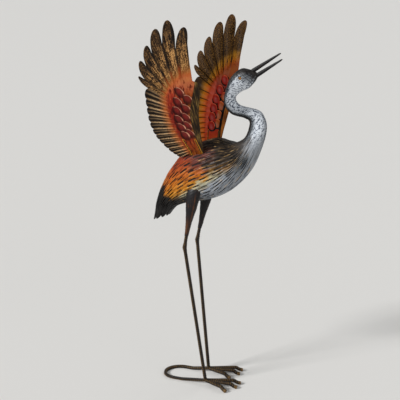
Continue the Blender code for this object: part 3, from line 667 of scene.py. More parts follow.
def makeBody():
    ribs = craneBody["ribs"]
    dense = np.linspace(0, len(ribs) - 1, 1501)
    rows = splineAt(ribs, dense)
    centers = (rows[:, [0, 1]] + rows[:, [2, 3]]) / 2
    length = np.concatenate([[0], np.cumsum(np.linalg.norm(np.diff(centers, axis=0), axis=1))])
    whole = length[-1]
    neckStart = np.interp(craneBody["neckFrom"], dense, length)
    torso = np.linspace(0, neckStart, round(neckStart / craneBody["torsoGap"]))
    neck = np.linspace(neckStart, whole, round((whole - neckStart) / craneBody["neckGap"]))[1:]

    verts, faces, loops = [], [], []
    values = {key: [] for key in ("along", "around", "slash", "crest", "crease", "flow", "girth")}

    def addRing(points, along, share, slash, crest, crease, slanted, girth):
        count = len(points)
        first = sum(len(v) for v in verts)
        verts.append(points)
        flat = np.full(count, along)
        rows = {"along": flat / whole, "around": share, "slash": slash, "crest": crest, "crease": crease}
        rows["flow"] = np.column_stack([flat, slanted * 0.2, np.zeros(count)])
        rows["girth"] = np.column_stack([flat, share * girth, np.zeros(count)])
        for key, row in rows.items():
            values[key].append(row)
        loops.append(list(range(first, first + count)))

    def stitch(one, other):
        n, m = len(one), len(other)
        if n == m:
            faces.extend(ringFaces([one, other], closed=False))
            return
        for i in range(m):  # two sides of the torso's ring meet one of the neck's
            a, b, c = one[2 * i], one[2 * i + 1], one[(2 * i + 2) % n]
            j = (i + 1) % m
            faces.append((a, b, other[i]))
            faces.append((b, c, other[j], other[i]))

    def sides(count):
        angles = 2 * np.pi * np.arange(count) / count
        return angles, 1 - np.abs(1 - angles / np.pi), np.sign(np.sin(angles))

    def heading(one, other):
        a, b = splineAt(ribs, [one])[0], splineAt(ribs, [other])[0]
        way = np.array([b[0] + b[2] - a[0] - a[2], 0, b[1] + b[3] - a[1] - a[3]])
        return way / np.linalg.norm(way)

    tailward = heading(1.0, 0.0)

    def plumed(points, angles, along):
        weight = float(ease(0.030, 0.0, along))
        reach = craneBody["plumeLength"] * (np.abs(np.cos(craneBody["plumes"] * angles / 2)) - 0.35)
        return points + np.outer(reach * weight, tailward)

    # inside of the open tail, from its cap out to the rim
    angles, share, side = sides(craneBody["torsoSides"])
    zero = np.zeros(len(angles))
    for place in np.linspace(craneBody["hollowTo"], 0, 8):
        rib = splineAt(ribs, [place])[0]
        along = float(np.interp(place, dense, length))
        points = plumed(ringPoints(rib, angles, zero - craneBody["sheet"]), angles, along)
        addRing(points, 0.0, zero + 1, zero, zero, zero, zero, 0.1)

    for along in np.concatenate([torso, neck]):
        place = float(np.interp(along, length, dense))
        rib = splineAt(ribs, [place])[0]
        count = craneBody["torsoSides"] if along <= neckStart + 1e-9 else craneBody["neckSides"]
        angles, share, side = sides(count)
        lift, slash, crest, slanted = featherRelief(along, along / whole, share, side, place)
        halfDepth = math.dist(rib[:2], rib[2:4]) / 2
        girth = math.pi * math.sqrt((halfDepth**2 + rib[4] ** 2) / 2)
        # grooves run up from the notches between the tail's plumes
        grooved = np.abs(np.sin(craneBody["plumes"] * angles / 2)) ** 18 * float(ease(1.3, 0.2, place))
        # welded seam in the middle plane
        seamOff = np.minimum(share, 1 - share) * girth
        ripple = 1 + 0.22 * math.sin(along * 2 * math.pi / craneBody["seamRipple"])
        seamFade = float(ease(15, 13, place))
        seam = craneBody["seamHeight"] * ripple * bell(seamOff, craneBody["seamWidth"]) * seamFade
        plain = ringPoints(rib, angles, np.zeros(count))
        neckness = float(ease(5.2, 6.4, place) * ease(15, 14.4, place)) * np.ones(count)
        crease = hammered(plain - (shiftX, 0, 0), neckness)
        lift = lift + seam - craneBody["plumeGroove"] * grooved
        lift = lift - craneBody["dimpleDepth"] * crease + craneBody["neckSwell"] * neckness
        points = plumed(ringPoints(rib, angles, lift), angles, along)
        addRing(points, along, share, np.maximum(slash, 0.9 * grooved), crest, crease, slanted, girth)
    # rounded front of the head, behind the beak
    rib = splineAt(ribs, [len(ribs) - 1.0])[0]
    forward = heading(len(ribs) - 1.6, len(ribs) - 1.0)
    angles, share, side = sides(craneBody["neckSides"])
    zero = np.zeros(len(angles))
    middle = np.array([(rib[0] + rib[2]) / 2 + shiftX, 0, (rib[1] + rib[3]) / 2])
    for turn in np.linspace(0, math.pi / 2, 9)[1:]:
        flat = ringPoints(rib, angles, zero) - middle
        ahead = forward * craneBody["noseLength"] * math.sin(turn)
        points = middle + flat * max(math.cos(turn), 0.02) + ahead
        addRing(points, whole, share, zero, zero, zero, share, 0.04)
    for one, other in zip(loops, loops[1:]):
        stitch(one, other)
    faces.append(tuple(reversed(loops[0])))
    faces.append(tuple(loops[-1]))
    data = {key: np.concatenate(parts) for key, parts in values.items()}
    verts = np.vstack(verts)
    dress(makePiece("craneBody", verts, faces, bodyPaint, data, 75), "body_paint", "body_shell")
    return verts


def makeEye(name, side, bodyVerts):
    # a low dome with a raised lid, set on the cheek
    radius, count = craneBody["eyeRadius"], craneBody["eyeSides"]
    place = np.array([craneBody["eyePlace"][0] + shiftX, craneBody["eyePlace"][1]])
    near = bodyVerts[bodyVerts[:, 1] * side > 0.004]
    gaps = np.linalg.norm(near[:, [0, 2]] - place, axis=1)
    patch = near[np.argsort(gaps)[:60]]
    center = patch.mean(axis=0)
    _, _, axes = np.linalg.svd(patch - center)
    normal = axes[2] * (1 if axes[2][1] * side > 0 else -1)
    u = np.cross(normal, (0, 0, 1))
    u /= np.linalg.norm(u)
    v = np.cross(normal, u)
    verts, ring, loops = [], [], []
    for share, height in craneBody["eyeProfile"]:
        loops.append(list(range(len(verts), len(verts) + count)))
        for i in range(count):
            turn = 2 * math.pi * i / count
            oval = math.cos(turn) * u + craneBody["eyeFlatness"] * math.sin(turn) * v
            verts.append(center + radius * (share * oval + height * normal))
            ring.append(share)
    dress(makePiece(name, verts, ringFaces(loops), eyePaint, {"ring": ring}, 80), "body_paint")


bodyVerts = makeBody()
makeEye("rightEye", -1, bodyVerts)
makeEye("leftEye", 1, bodyVerts)
print("stage: body")


# Beak

craneBeak = {
    "baseRadius": 0.0064,
    "tipRadius": 0.0015,
    "flatness": 0.72,
    "taper": ((0, 1.0), (0.3, 0.8), (0.65, 0.5), (0.93, 0.2), (1, 0.0)),
    "roundTip": 0.035,
    "upper": ((0.1690, 0.9960), (0.2560, 1.0515)),
    "lower": ((0.1790, 0.9820), (0.2610, 1.0340)),
    "rings": 70,
    "sides": 40,
}


def makeBlade(name, node, ends, ridgeSide):
    # a tapered blade with a keel along its outer edge and a fine line pressed along each flank
    start, end = (np.array([x + shiftX, 0, z]) for x, z in ends)
    axis = end - start
    size = np.linalg.norm(axis)
    axis /= size
    up = np.array([-axis[2], 0, axis[0]])
    places, fullness = np.array(craneBeak["taper"]).T
    verts, worn, loops = [], [], []
    sides, tip = craneBeak["sides"], craneBeak["roundTip"]
    turn = 2 * np.pi * np.arange(sides) / sides
    keel = bellRound(turn, 0 if ridgeSide > 0 else np.pi, 0.25)
    flank = bell(np.abs(np.angle(np.exp(1j * turn))) - np.pi / 2 - 0.35 * ridgeSide, 0.13)
    for share in np.linspace(0, 1, craneBeak["rings"]) ** 0.9:
        full = float(np.interp(share, places, fullness))
        radius = craneBeak["tipRadius"] + (craneBeak["baseRadius"] - craneBeak["tipRadius"]) * full
        if share > 1 - tip:
            radius *= max(math.sqrt(max(1 - ((share - 1 + tip) / tip) ** 2, 0)), 0.08)
        loops.append(list(range(len(verts), len(verts) + sides)))
        reach = radius * (1.0 + 0.06 * keel - 0.07 * flank)
        across = np.outer(np.sin(turn) * reach * craneBeak["flatness"], (0, 1, 0))
        offset = np.outer(np.cos(turn) * reach, up) + across
        verts += list(start + axis * size * share + offset)
        worn += list(0.5 * keel * ease(0.05, 0.3, share) + 0.12 * ease(0.8, 1, share))
    dress(makePiece(name, verts, ringFaces(loops), beakPaint, {"worn": worn}, 80), "beak_paint", node)


makeBlade("upperBeak", "upper_beak", craneBeak["upper"], 1)
makeBlade("lowerBeak", "lower_beak", craneBeak["lower"], -1)
print("stage: beak")


# Legs, toes and heel loop: ribbed bar

craneFeet = {
    "barRadius": 0.005,
    "legRadius": 0.0054,
    "ankleRadius": 0.0068,
    "shankRadius": 0.0053,
    "halfStance": 0.047,
    "rightFootX": 0.039,
    "leftFootX": 0.011,
    "footTurn": 2.5,
    "toeLift": 0.014,
    "toeDrop": 0.021,
    "toes": (("long", 24, 0.112), ("middle", 5.5, 0.105), ("short", -21, 0.091)),
    "floorFlat": 0.00045,
    "loopBack": -0.119,
    "loopRest": -0.045,
    "ankle": (-0.031, 0.050, 0.447),
    "socket": 0.016,
    "weldBeads": 9,
    "weldBead": 0.0030,
}
craneBar = {
    "inputs": {"Rib Pitch": 0.0070, "Bend Radius": 0.009},
    "gap": 0.0025,
    "profileTurn": 52,
    # shares of the bar's radius
    "core": 0.96,
    "longRib": 0.42,
    "rib": 0.95,
    "ribBead": 0.21,
    "ribArc": (22, 136),
    "ribSlant": 26,
    "farRibShift": 0.7,
}
craneThigh = {
    "rings": (  # middle line x, y, z, then half length along x and along y, as in part.py
        (0.006, 0.0500, 0.652, 0.0200, 0.0090),
        (0.003, 0.0550, 0.628, 0.0225, 0.0135),
        (-0.0015, 0.0570, 0.598, 0.0205, 0.0155),
        (-0.006, 0.0565, 0.570, 0.0165, 0.0140),
        (-0.0115, 0.0555, 0.544, 0.0120, 0.0115),
        (-0.0165, 0.0540, 0.520, 0.0088, 0.0088),
        (-0.0200, 0.0530, 0.502, 0.0073, 0.0073),
        (-0.0235, 0.0520, 0.486, 0.0063, 0.0063),
    ),
    "count": 96,
    "sides": 72,
    "ridgeHeight": 0.0011,
    "markDepth": 0.0004,
}


def ribbedBarTree():
    # a round core with two long ribs, and slanted crescent ribs stepped along both of its sides
    tree = bpy.data.node_groups.new("ribbedBar", "GeometryNodeTree")
    tree.is_modifier = True
    tree.interface.new_socket("Geometry", in_out="INPUT", socket_type="NodeSocketGeometry")
    for name in craneBar["inputs"]:
        tree.interface.new_socket(name, in_out="INPUT", socket_type="NodeSocketFloat")
    tree.interface.new_socket("Geometry", in_out="OUTPUT", socket_type="NodeSocketGeometry")
    given = tree.nodes.new("NodeGroupInput").outputs
    add = partial(addNode, tree)
    thickness = add("GeometryNodeInputRadius")
    turn, slant = math.radians(craneBar["profileTurn"]), math.radians(craneBar["ribSlant"])

    bends = {"Curve": given["Geometry"], "Radius": given["Bend Radius"], "Count": 6, "Limit Radius": True}
    route = add("GeometryNodeFilletCurve", bends, mode="POLY")
    route = add("GeometryNodeResampleCurve", {"Curve": route, "Length": craneBar["gap"]}, mode="LENGTH")
    place = add("GeometryNodeInputPosition")
    ridge = add("times", add("power", add("split", place), 16.0), craneBar["longRib"])
    push = add("ShaderNodeVectorMath", {0: place, "Scale": ridge}, operation="SCALE")
    rim = add("circle", 20, craneBar["core"])
    profile = add("GeometryNodeSetPosition", {"Geometry": rim, "Offset": push})
    core = add("sweep", route, add("move", profile, (0, 0, turn)), thickness, True)
    core = add("store", core, "worn", 0.0)

    first, sweep = (math.radians(angle) for angle in craneBar["ribArc"])
    bow = {"Resolution": 9, "Radius": craneBar["rib"], "Start Angle": first, "Sweep Angle": sweep}
    arc = add("GeometryNodeCurveArc", bow)
    share = add("GeometryNodeSplineParameter")
    swell = add("times", add("times", share, add("minus", 1.0, share)), 4.0)
    swell = add("larger", add("power", swell, 0.5), 0.2)
    arc = add("GeometryNodeSetCurveRadius", {"Curve": arc, "Radius": swell})
    crescent = add("sweep", arc, add("circle", 6, craneBar["ribBead"]), thickness, True)
    near = add("move", crescent, (0, slant, turn))
    far = add("move", crescent, (0, slant, turn + math.pi), (0, 0, craneBar["farRibShift"]))
    ribbed = add("GeometryNodeTrimCurve", {"Curve": route, "Start": 0.0, "End": 0.96}, mode="FACTOR")
    points = add("points", ribbed, given["Rib Pitch"])
    spots = {"Points": points, "Rotation": points.node.outputs["Rotation"], "Scale": thickness}
    ribs = add("GeometryNodeInstanceOnPoints", {**spots, "Instance": add("merge", [near, far])})
    ribs = add("store", add("GeometryNodeRealizeInstances", {"Geometry": ribs}), "worn", 1.0)
    painted = add("GeometryNodeSetMaterial", {"Geometry": add("merge", [core, ribs]), "Material": barPaint})
    tree.links.new(painted, tree.nodes.new("NodeGroupOutput").inputs[0])
    return tree


def addBeads(mesh, center, radius):
    # lumps of weld round the place where the bars meet
    bm = bmesh.new()
    bm.from_mesh(mesh)
    layer = bm.verts.layers.float["worn"]
    count = craneFeet["weldBeads"]
    for i in range(count):
        turn = 2 * math.pi * i / count
        size = craneFeet["weldBead"] + 0.0010 * float(randomOf(i, 7))
        height = 0.0015 * math.sin(3 * turn)
        spot = Vector(center) + Vector((math.cos(turn) * radius, math.sin(turn) * radius, height))
        made = bmesh.ops.create_icosphere(bm, subdivisions=2, radius=size)["verts"]
        for v in made:
            v.co = spot + Vector((v.co.x, v.co.y, v.co.z * 0.8))
            v[layer] = 0.15
    bm.to_mesh(mesh)
    bm.free()


def makeBar(name, node, points, radii, tipWorn=False, weldAt=None):
    curve = bpy.data.curves.new(name + "Route", "CURVE")
    curve.dimensions = "3D"
    spline = curve.splines.new("POLY")
    spline.points.add(len(points) - 1)
    for target, point, radius in zip(spline.points, points, radii):
        target.co = (point[0] + shiftX, point[1], point[2], 1)
        target.radius = radius
    route = link(name + "Route", curve)
    modifier = route.modifiers.new("ribs", "NODES")
    modifier.node_group = barTree
    for item in barTree.interface.items_tree:
        if item.in_out == "INPUT" and item.name in craneBar["inputs"]:
            modifier[item.identifier] = craneBar["inputs"][item.name]
    mesh = bpy.data.meshes.new_from_object(route.evaluated_get(bpy.context.evaluated_depsgraph_get()))
    bpy.data.objects.remove(route)
    mesh.name = name
    if weldAt:
        addBeads(mesh, (weldAt[0] + shiftX, weldAt[1], weldAt[2]), craneFeet["barRadius"] * 0.95)
    verts = np.empty(len(mesh.vertices) * 3)
    mesh.vertices.foreach_get("co", verts)
    verts = verts.reshape(-1, 3)
    verts[:, 2] = np.maximum(verts[:, 2], 0)  # stands flat on the floor
    mesh.vertices.foreach_set("co", verts.ravel())
    if tipWorn:
        tip = np.array(points[-1]) + (shiftX, 0, 0)
        worn = np.empty(len(verts))
        mesh.attributes["worn"].data.foreach_get("value", worn)
        worn = np.maximum(worn, 0.8 * ease(0.011, 0.005, np.linalg.norm(verts - tip, axis=1)))
        mesh.attributes["worn"].data.foreach_set("value", worn)
    mesh.materials.clear()  # the route's own empty slot goes, and with it the faces' numbers
    mesh.materials.append(barPaint)
    mesh.polygons.foreach_set("material_index", [0] * len(mesh.polygons))
    mesh.shade_smooth()
    mesh.set_sharp_from_angle(angle=math.radians(50))
    dress(link(name, mesh), "bar_paint", node)


def towards(start, end, distance):
    way = np.subtract(end, start)
    return tuple(np.add(start, way / np.linalg.norm(way) * distance))


def makeLegs():
    bar, stance, lift, drop = (craneFeet[key] for key in ("barRadius", "halfStance", "toeLift", "toeDrop"))
    rest = bar - craneFeet["floorFlat"]
    for word, side in (("right", -1), ("left", 1)):
        footX = craneFeet[word + "FootX"]
        foot = (footX, side * stance, lift - bar / 2)
        ankle = (craneFeet["ankle"][0], craneFeet["ankle"][1] * side, craneFeet["ankle"][2])
        low, high = ((r[0], r[1] * side, r[2]) for r in (craneThigh["rings"][-1], craneThigh["rings"][-2]))
        bend = 2.4 * craneFeet["ankleRadius"]
        line = [foot, towards(ankle, foot, bend), ankle, towards(ankle, low, bend), low]
        line.append(towards(low, high, craneFeet["socket"]))
        radii = [craneFeet["legRadius"]] * 2 + [craneFeet["ankleRadius"]] + [craneFeet["shankRadius"]] * 3
        makeBar(word + "Leg", word + "_leg", line, radii, weldAt=(footX, side * stance, lift + 0.002))
        for toe, heading, length in craneFeet["toes"]:
            turn = math.radians(side * craneFeet["footTurn"] + heading)
            bent = (length - drop * 0.55, (lift + 2 * rest) / 3)
            profile = ((bar * 0.6, lift), (length - drop, lift), bent, (length, rest))
            line = [(footX + d * math.cos(turn), side * stance + d * math.sin(turn), z) for d, z in profile]
            makeBar(f"{word}{toe.title()}Toe", f"{word}_{toe}_toe", line, [bar] * len(line), tipWorn=True)
    middle = craneFeet["loopBack"] + stance
    line = [(craneFeet["rightFootX"], -stance, lift), (craneFeet["loopRest"], -stance, rest)]
    for i in range(19):
        angle = -math.pi / 2 - math.pi * i / 18
        line.append((middle + stance * math.cos(angle), stance * math.sin(angle), rest))
    line += [(craneFeet["loopRest"], stance, rest), (craneFeet["leftFootX"], stance, lift)]
    makeBar("heelLoop", "heel_loop", line, [bar] * len(line))


def makeThigh(name, node, side):
    # a leaf of rolled sheet: a sharp fold down its front, the sheet's overlap behind, hammer marks between
    count, sides = craneThigh["count"], craneThigh["sides"]
    rows = splineAt(craneThigh["rings"], np.linspace(0, len(craneThigh["rings"]) - 1, count))
    verts, worn, loops = [], [], []
    turn = 2 * np.pi * np.arange(sides) / sides
    for k, (x, y, z, halfX, halfY) in enumerate(rows):
        share = k / (count - 1)
        fold = bellRound(turn, 1.05 - 0.5 * share, 0.13)
        rearFold = bellRound(turn, 2.3 - 0.2 * share, 0.10)
        lap = bellRound(turn, -1.6, 0.09)
        fade = ease(1.0, 0.85, share)
        lift = craneThigh["ridgeHeight"] * (fold + 0.7 * rearFold - 0.9 * lap) * fade
        marks = craneThigh["markDepth"] * np.sin(turn * 5 + z * 190) * np.sin(z * 420 + turn * 3) * fade
        reach = 1 + (lift + marks) / max(halfX, halfY)
        across = (y + np.sin(turn) * halfY * reach) * side
        loops.append(list(range(len(verts), len(verts) + sides)))
        verts += list(np.column_stack([x + shiftX + np.cos(turn) * halfX * reach, across, np.full(sides, z)]))
        low = ease(0.45, 0.75, share) * ease(1.0, 0.9, share) * bellRound(turn, 1.9, 0.9)
        worn += list(np.maximum(0.75 * fold * ease(0.1, 0.3, share), 0.7 * low))
    dress(makePiece(name, verts, ringFaces(loops), thighPaint, {"worn": worn}, 70), "thigh_paint", node)


barTree = ribbedBarTree()
makeLegs()
makeThigh("rightThigh", "right_thigh", -1)
makeThigh("leftThigh", "left_thigh", 1)
print("stage: legs and feet")


# Wings

craneWing = {
    "length": 0.443,
    "sheet": 0.0012,
    "meshGap": 0.0038,
    "edgeGap": 0.0030,
    # places on the flat plate are shares of its length: forward, up
    "primaryTips": (
        (0.112, 0.956), (0.023, 1.000), (-0.086, 0.938), (-0.165, 0.817), (-0.221, 0.708), (-0.240, 0.602),
    ),
    "frontNotch": (0.131, 0.850),
    "primaryNotches": (
        (0.047, 0.808), (-0.038, 0.844), (-0.117, 0.779), (-0.169, 0.688), (-0.197, 0.596), (-0.183, 0.530),
    ),
    "primaryRoots": (
        (0.054, 0.612), (0.002, 0.572), (-0.027, 0.544), (-0.046, 0.517), (-0.062, 0.490), (-0.074, 0.462),
    ),
    "secondaries": 12,
    "secondaryTips": (
        (-0.217, 0.491), (-0.229, 0.366), (-0.234, 0.251), (-0.221, 0.149), (-0.192, 0.075), (-0.150, -0.004),
        (-0.112, -0.048),
    ),
    "secondaryRoots": (
        (-0.074, 0.462), (-0.081, 0.350), (-0.076, 0.262), (-0.062, 0.176), (-0.046, 0.100), (-0.024, 0.030),
        (-0.014, -0.006),
    ),
    "secondaryNotch": 0.020,
    "primaryTipShape": 0.62,
    "secondaryTipShape": 0.8,
    "foldLine": (
        (0.074, -0.008), (0.072, 0.061), (0.063, 0.131), (0.059, 0.201), (0.059, 0.262), (0.063, 0.330),
        (0.079, 0.402), (0.102, 0.472), (0.134, 0.566),
    ),
    "flangeWidths": (0.012, 0.022, 0.034, 0.045, 0.051, 0.054, 0.054, 0.049, 0.028),
    "leadingEdge": 0.123,
    "plateMiddle": 0.045,
    "leadingCurl": 0.30,
    "flangeFold": 14,
    "shoulderLean": 38,
    "tipLean": 12,
    "trailingFlare": 0.14,
    "shoulderY": 0.062,
    "shoulderZ": 0.752,
    "outerScales": (
        (0.026, 0.512), (0.000, 0.436), (-0.018, 0.364), (-0.022, 0.294), (-0.019, 0.225), (-0.008, 0.156),
    ),
    "innerScales": ((0.070, 0.455), (0.046, 0.384), (0.031, 0.314), (0.027, 0.245), (0.030, 0.177)),
    "scaleHalf": (0.041, 0.029),
    "scaleTilt": 118,
    "scaleRise": 0.0060,
    "crown": 0.0033,
    "shaftRise": 0.0006,
    "shaftWidth": 0.0016,
    "grooveDepth": 0.0006,
    "grooveWidth": 0.0019,
    "rootReach": 0.16,
    "tabWidth": 0.032,
    "tabDepth": 0.026,
    "tabMiddle": 0.015,
    "slitWidth": 0.00015,
    "slitHeight": 0.052,
    "slitLean": 0.22,
    "slitRows": (0.0035, 0.0070, 0.0105),  # pins beside each slit, which carry its painted lines
    "tongueFrom": 0.0045,
}


def foldPlace(up):
    line = np.array(craneWing["foldLine"])
    return np.interp(up, line[:, 1], line[:, 0])


def wingPoints(ahead, up, lift, side):
    # the flat plate, in shares of its length, carried onto the bent wing in metres
    size = craneWing["length"]
    lift = lift / size
    wrist = craneWing["foldLine"][-1][1]
    fold = foldPlace(up)
    beyond = np.where(up < wrist, np.maximum(ahead - fold, 0), 0)
    share = np.clip(up, 0, 1)
    middle = craneWing["plateMiddle"]
    inward = lift + craneWing["leadingCurl"] * np.maximum(0, ahead - middle) * np.sin(np.pi * share)
    angle = math.radians(craneWing["flangeFold"])
    ahead = np.where(beyond > 0, fold + beyond * math.cos(angle), ahead)
    inward = inward + beyond * math.sin(angle)
    first = math.radians(craneWing["shoulderLean"])
    change = math.radians(craneWing["tipLean"]) - first
    lean = first + change * up
    out = (math.cos(first) - np.cos(lean)) / change
    rise = (np.sin(lean) - math.sin(first)) / change
    out = out + craneWing["trailingFlare"] * np.maximum(0, middle - ahead) * np.clip(1 - up, 0, 1)
    out = out - inward * np.cos(lean)
    rise = rise + inward * np.sin(lean)
    y = craneWing["shoulderY"] + out * size
    return np.column_stack([ahead * size + shiftX, side * y, craneWing["shoulderZ"] + rise * size])


def featherLines():
    # per feather edge: root and notch; per feather: tip
    count = craneWing["secondaries"]
    tips = splineAt(craneWing["secondaryTips"], np.linspace(0, 6, count))
    tips = np.vstack([craneWing["primaryTips"], tips])
    foremost = craneWing["primaryRoots"][0][1]
    roots = [(float(foldPlace(1.1 * foremost)), foremost + 0.02)]
    roots += list(craneWing["primaryRoots"][:-1])
    roots = np.vstack([roots, splineAt(craneWing["secondaryRoots"], np.linspace(0, 6, count + 1))])
    primaries = len(craneWing["primaryTips"])
    notches = [np.array(p) for p in (craneWing["frontNotch"],) + craneWing["primaryNotches"]]
    for i in range(primaries, len(tips) - 1):
        half = (tips[i] + tips[i + 1]) / 2
        inward = roots[i + 1] - half
        notches.append(half + inward / np.linalg.norm(inward) * craneWing["secondaryNotch"])
    notches.append(tips[-1] + (roots[-1] - tips[-1]) * 0.12 + (0.012, -0.012))
    return roots, np.array(notches), tips


def tipArc(left, tip, right, shape, count):
    axis = tip - (left + right) / 2
    angles = np.pi * np.arange(1, count) / count
    base = left + np.outer(0.5 - 0.5 * np.cos(angles), right - left)
    return list(base + np.outer(np.sin(angles) ** shape, axis))


def slitCorners():
    # round the rear slit, the tongue and the front slit
    size = craneWing["length"]
    half, middle = craneWing["tabWidth"] / 2 / size, craneWing["tabMiddle"] / size
    slit, top, deep = (craneWing[key] / size for key in ("slitWidth", "slitHeight", "tabDepth"))
    back, front = middle - half, middle + half
    rearLean = craneWing["slitLean"] * top
    frontLean = 0.6 * rearLean
    corners = (
        (back - slit, -0.030), (back - slit, 0), (back - slit - rearLean, top),
        (back - rearLean, top), (back, 0), (back, -deep),
        (front, -deep), (front, 0), (front - frontLean, top),
        (front - frontLean + slit, top), (front + slit, 0), (front + slit, -0.009),
    )
    return [np.array(c) for c in corners]


def slitLines():
    # where the slits run: ends of the rear one's two stretches and of the front one
    corners = slitCorners()
    return [corners[i] for i in (0, 1, 7)], [corners[i] for i in (1, 2, 8)]


def wingOutline(roots, notches, tips):
    fold = craneWing["foldLine"]
    edge = craneWing["leadingEdge"]
    outline = [np.array([x + w, z]) for (x, z), w in zip(fold, craneWing["flangeWidths"])]
    outline.append(np.array([edge, fold[-1][1] + 0.022]))
    outline.append(np.array([edge, (notches[0][1] + fold[-1][1]) / 2]))
    outline.append(notches[0])
    for i, tip in enumerate(tips):
        primary = i < len(craneWing["primaryTips"])
        shape = craneWing["primaryTipShape" if primary else "secondaryTipShape"]
        outline += tipArc(notches[i], tip, notches[i + 1], shape, 26 if primary else 12)
        outline.append(notches[i + 1])
    return outline + slitCorners()


def spread(line, gap):
    # a polyline with points added so that none are further apart than the gap
    made = [line[0]]
    for one, other in zip(line, line[1:]):
        steps = max(1, math.ceil(math.dist(one, other) / gap))
        made += [one + (other - one) * j / steps for j in range(1, steps + 1)]
    return made


def toSegments(points, starts, ends):
    # distance from each point to the nearest of the segments, and which one it is
    best = np.full(len(points), 9.0)
    which = np.zeros(len(points), int)
    for i, (a, b) in enumerate(zip(starts, ends)):
        along = b - a
        t = np.clip(((points - a) @ along) / (along @ along), 0, 1)
        distance = np.linalg.norm(points - a - np.outer(t, along), axis=1)
        which = np.where(distance < best, i, which)
        best = np.minimum(best, distance)
    return best, which


def insidePolygon(points, polygon):
    inside = np.zeros(len(points), bool)
    x, y = points[:, 0], points[:, 1]
    for (x0, y0), (x1, y1) in zip(polygon, polygon[1:] + polygon[:1]):
        crosses = (y0 > y) != (y1 > y)
        if y1 != y0:
            inside ^= crosses & (x < (x1 - x0) * (y - y0) / (y1 - y0) + x0)
    return inside


def scaleAxes():
    tilt = math.radians(craneWing["scaleTilt"])
    return np.array([[math.cos(tilt), math.sin(tilt)], [-math.sin(tilt), math.cos(tilt)]])


def scaleFields(points):
    # covert scales laid like shingles: height, the dark line round each, drawn on its lower side only
    # (outline paint with painted shadow there), and a painted highlight on the rim towards the upper right
    top, edge, lit = np.zeros((3, len(points)))
    rows = [sorted(craneWing[key], key=lambda p: -p[1]) for key in ("outerScales", "innerScales")]
    for middle in [p for pair in zip(rows[0], rows[1] + [None]) for p in pair if p]:
        u, v = ((points - middle) @ axis / half for axis, half in zip(scaleAxes(), craneWing["scaleHalf"]))
        radius = np.sqrt(u**2 + v**2 * (1 + 0.15 * np.clip(u, -2, 2)))
        dome = np.clip(1 - radius**2, 0, None) ** 0.55 * (0.72 + 0.28 * np.clip(u, -1, 1))
        here = radius < 1.02
        # dark line round the scale, only on its lower side: outline paint, partly painted shadow
        line = bell(radius - 1.0, 0.12) * ease(0.75, 0.0, u)
        # painted highlight along the rim, on the side towards the upper right
        rim = bell(radius - 0.84, 0.12) * ease(0.1, 0.75, (0.5 * u - v) / (1.12 * np.maximum(radius, 0.1)))
        top = np.where(here & (dome > top * 0.8), dome, top)
        covered = here & (dome > 0.35)
        edge = np.maximum(np.where(covered, 0, edge), line)
        lit = np.maximum(np.where(covered, 0, lit), rim)
    return top, edge, lit


def wingFields(points):
    roots, notches, tips = featherLines()
    primaries = len(craneWing["primaryTips"])
    size = craneWing["length"]
    middles = (roots[:-1] + roots[1:]) / 2
    _, feather = toSegments(points, middles, tips)
    starts = roots + (roots - notches) * craneWing["rootReach"]
    grooveGap, _ = toSegments(points, starts[1:-1], notches[1:-1])
    rootGap, _ = toSegments(points, roots[:-1], roots[1:])
    tipGap, _ = toSegments(points, tips[:-1], tips[1:])

    def offset(i):
        axis = notches[i] - roots[i]
        across = np.column_stack([-axis[:, 1], axis[:, 0]])
        return np.sum((points - roots[i]) * across, axis=1) / np.linalg.norm(axis, axis=1)

    ahead, behind = np.abs(offset(feather)), np.abs(offset(feather + 1))
    width = np.maximum(ahead + behind, 1e-6)
    share = ahead / width

    # on which side of the roots: the arm lies between the root line and the fold
    rootPolygon = [tuple(p) for p in roots] + [(0.02, -0.3), (0.4, -0.3), (0.4, 0.60)]
    arm = insidePolygon(points, rootPolygon)
    reach = np.where(arm, -rootGap * 2, rootGap / np.maximum(rootGap + tipGap, 1e-6))
    primary = ease(primaries + 0.4, primaries - 0.4, feather + share)
    top, edge, lit = scaleFields(points)
    onFeather = ease(-0.09, 0.10, reach) * ease(0.5, 0.0, top)
    crown = np.sin(np.pi * share) ** 0.75 * (1 - 0.6 * ease(0.7, 1.0, reach))
    shaft = bell((share - 0.5) * width * size, craneWing["shaftWidth"]) * ease(0.0, 0.1, reach)
    groove = bell(grooveGap * size, craneWing["grooveWidth"]) * onFeather
    lift = craneWing["crown"] * crown * onFeather + craneWing["shaftRise"] * shaft
    lift = lift - craneWing["grooveDepth"] * groove
    lift = np.maximum(lift, craneWing["scaleRise"] * top * np.maximum(ease(0.04, -0.02, reach), 0.4))
    wrist = craneWing["foldLine"][-1][1]
    fold = points[:, 0] - foldPlace(points[:, 1])
    fold = np.where(points[:, 1] < wrist + 0.024, fold, np.minimum(fold, 0) - 0.05)
    slitGap, _ = toSegments(points, *slitLines())
    tongue = insidePolygon(points, [tuple(c) for c in slitCorners()[3:9]])
    slitGap = np.where(tongue & (slitGap > craneWing["tongueFrom"]), 1, slitGap)  # no yellow on the tongue
    return lift, {
        "fan": np.column_stack([feather + share, reach, primary]),
        "plate": np.column_stack([points, fold]),
        "groove": groove,
        "scaleTop": top,
        "scaleEdge": edge,
        "scaleLit": lit,
        "slitGap": np.minimum(slitGap * size * 1000, 8),  # in mm
    }


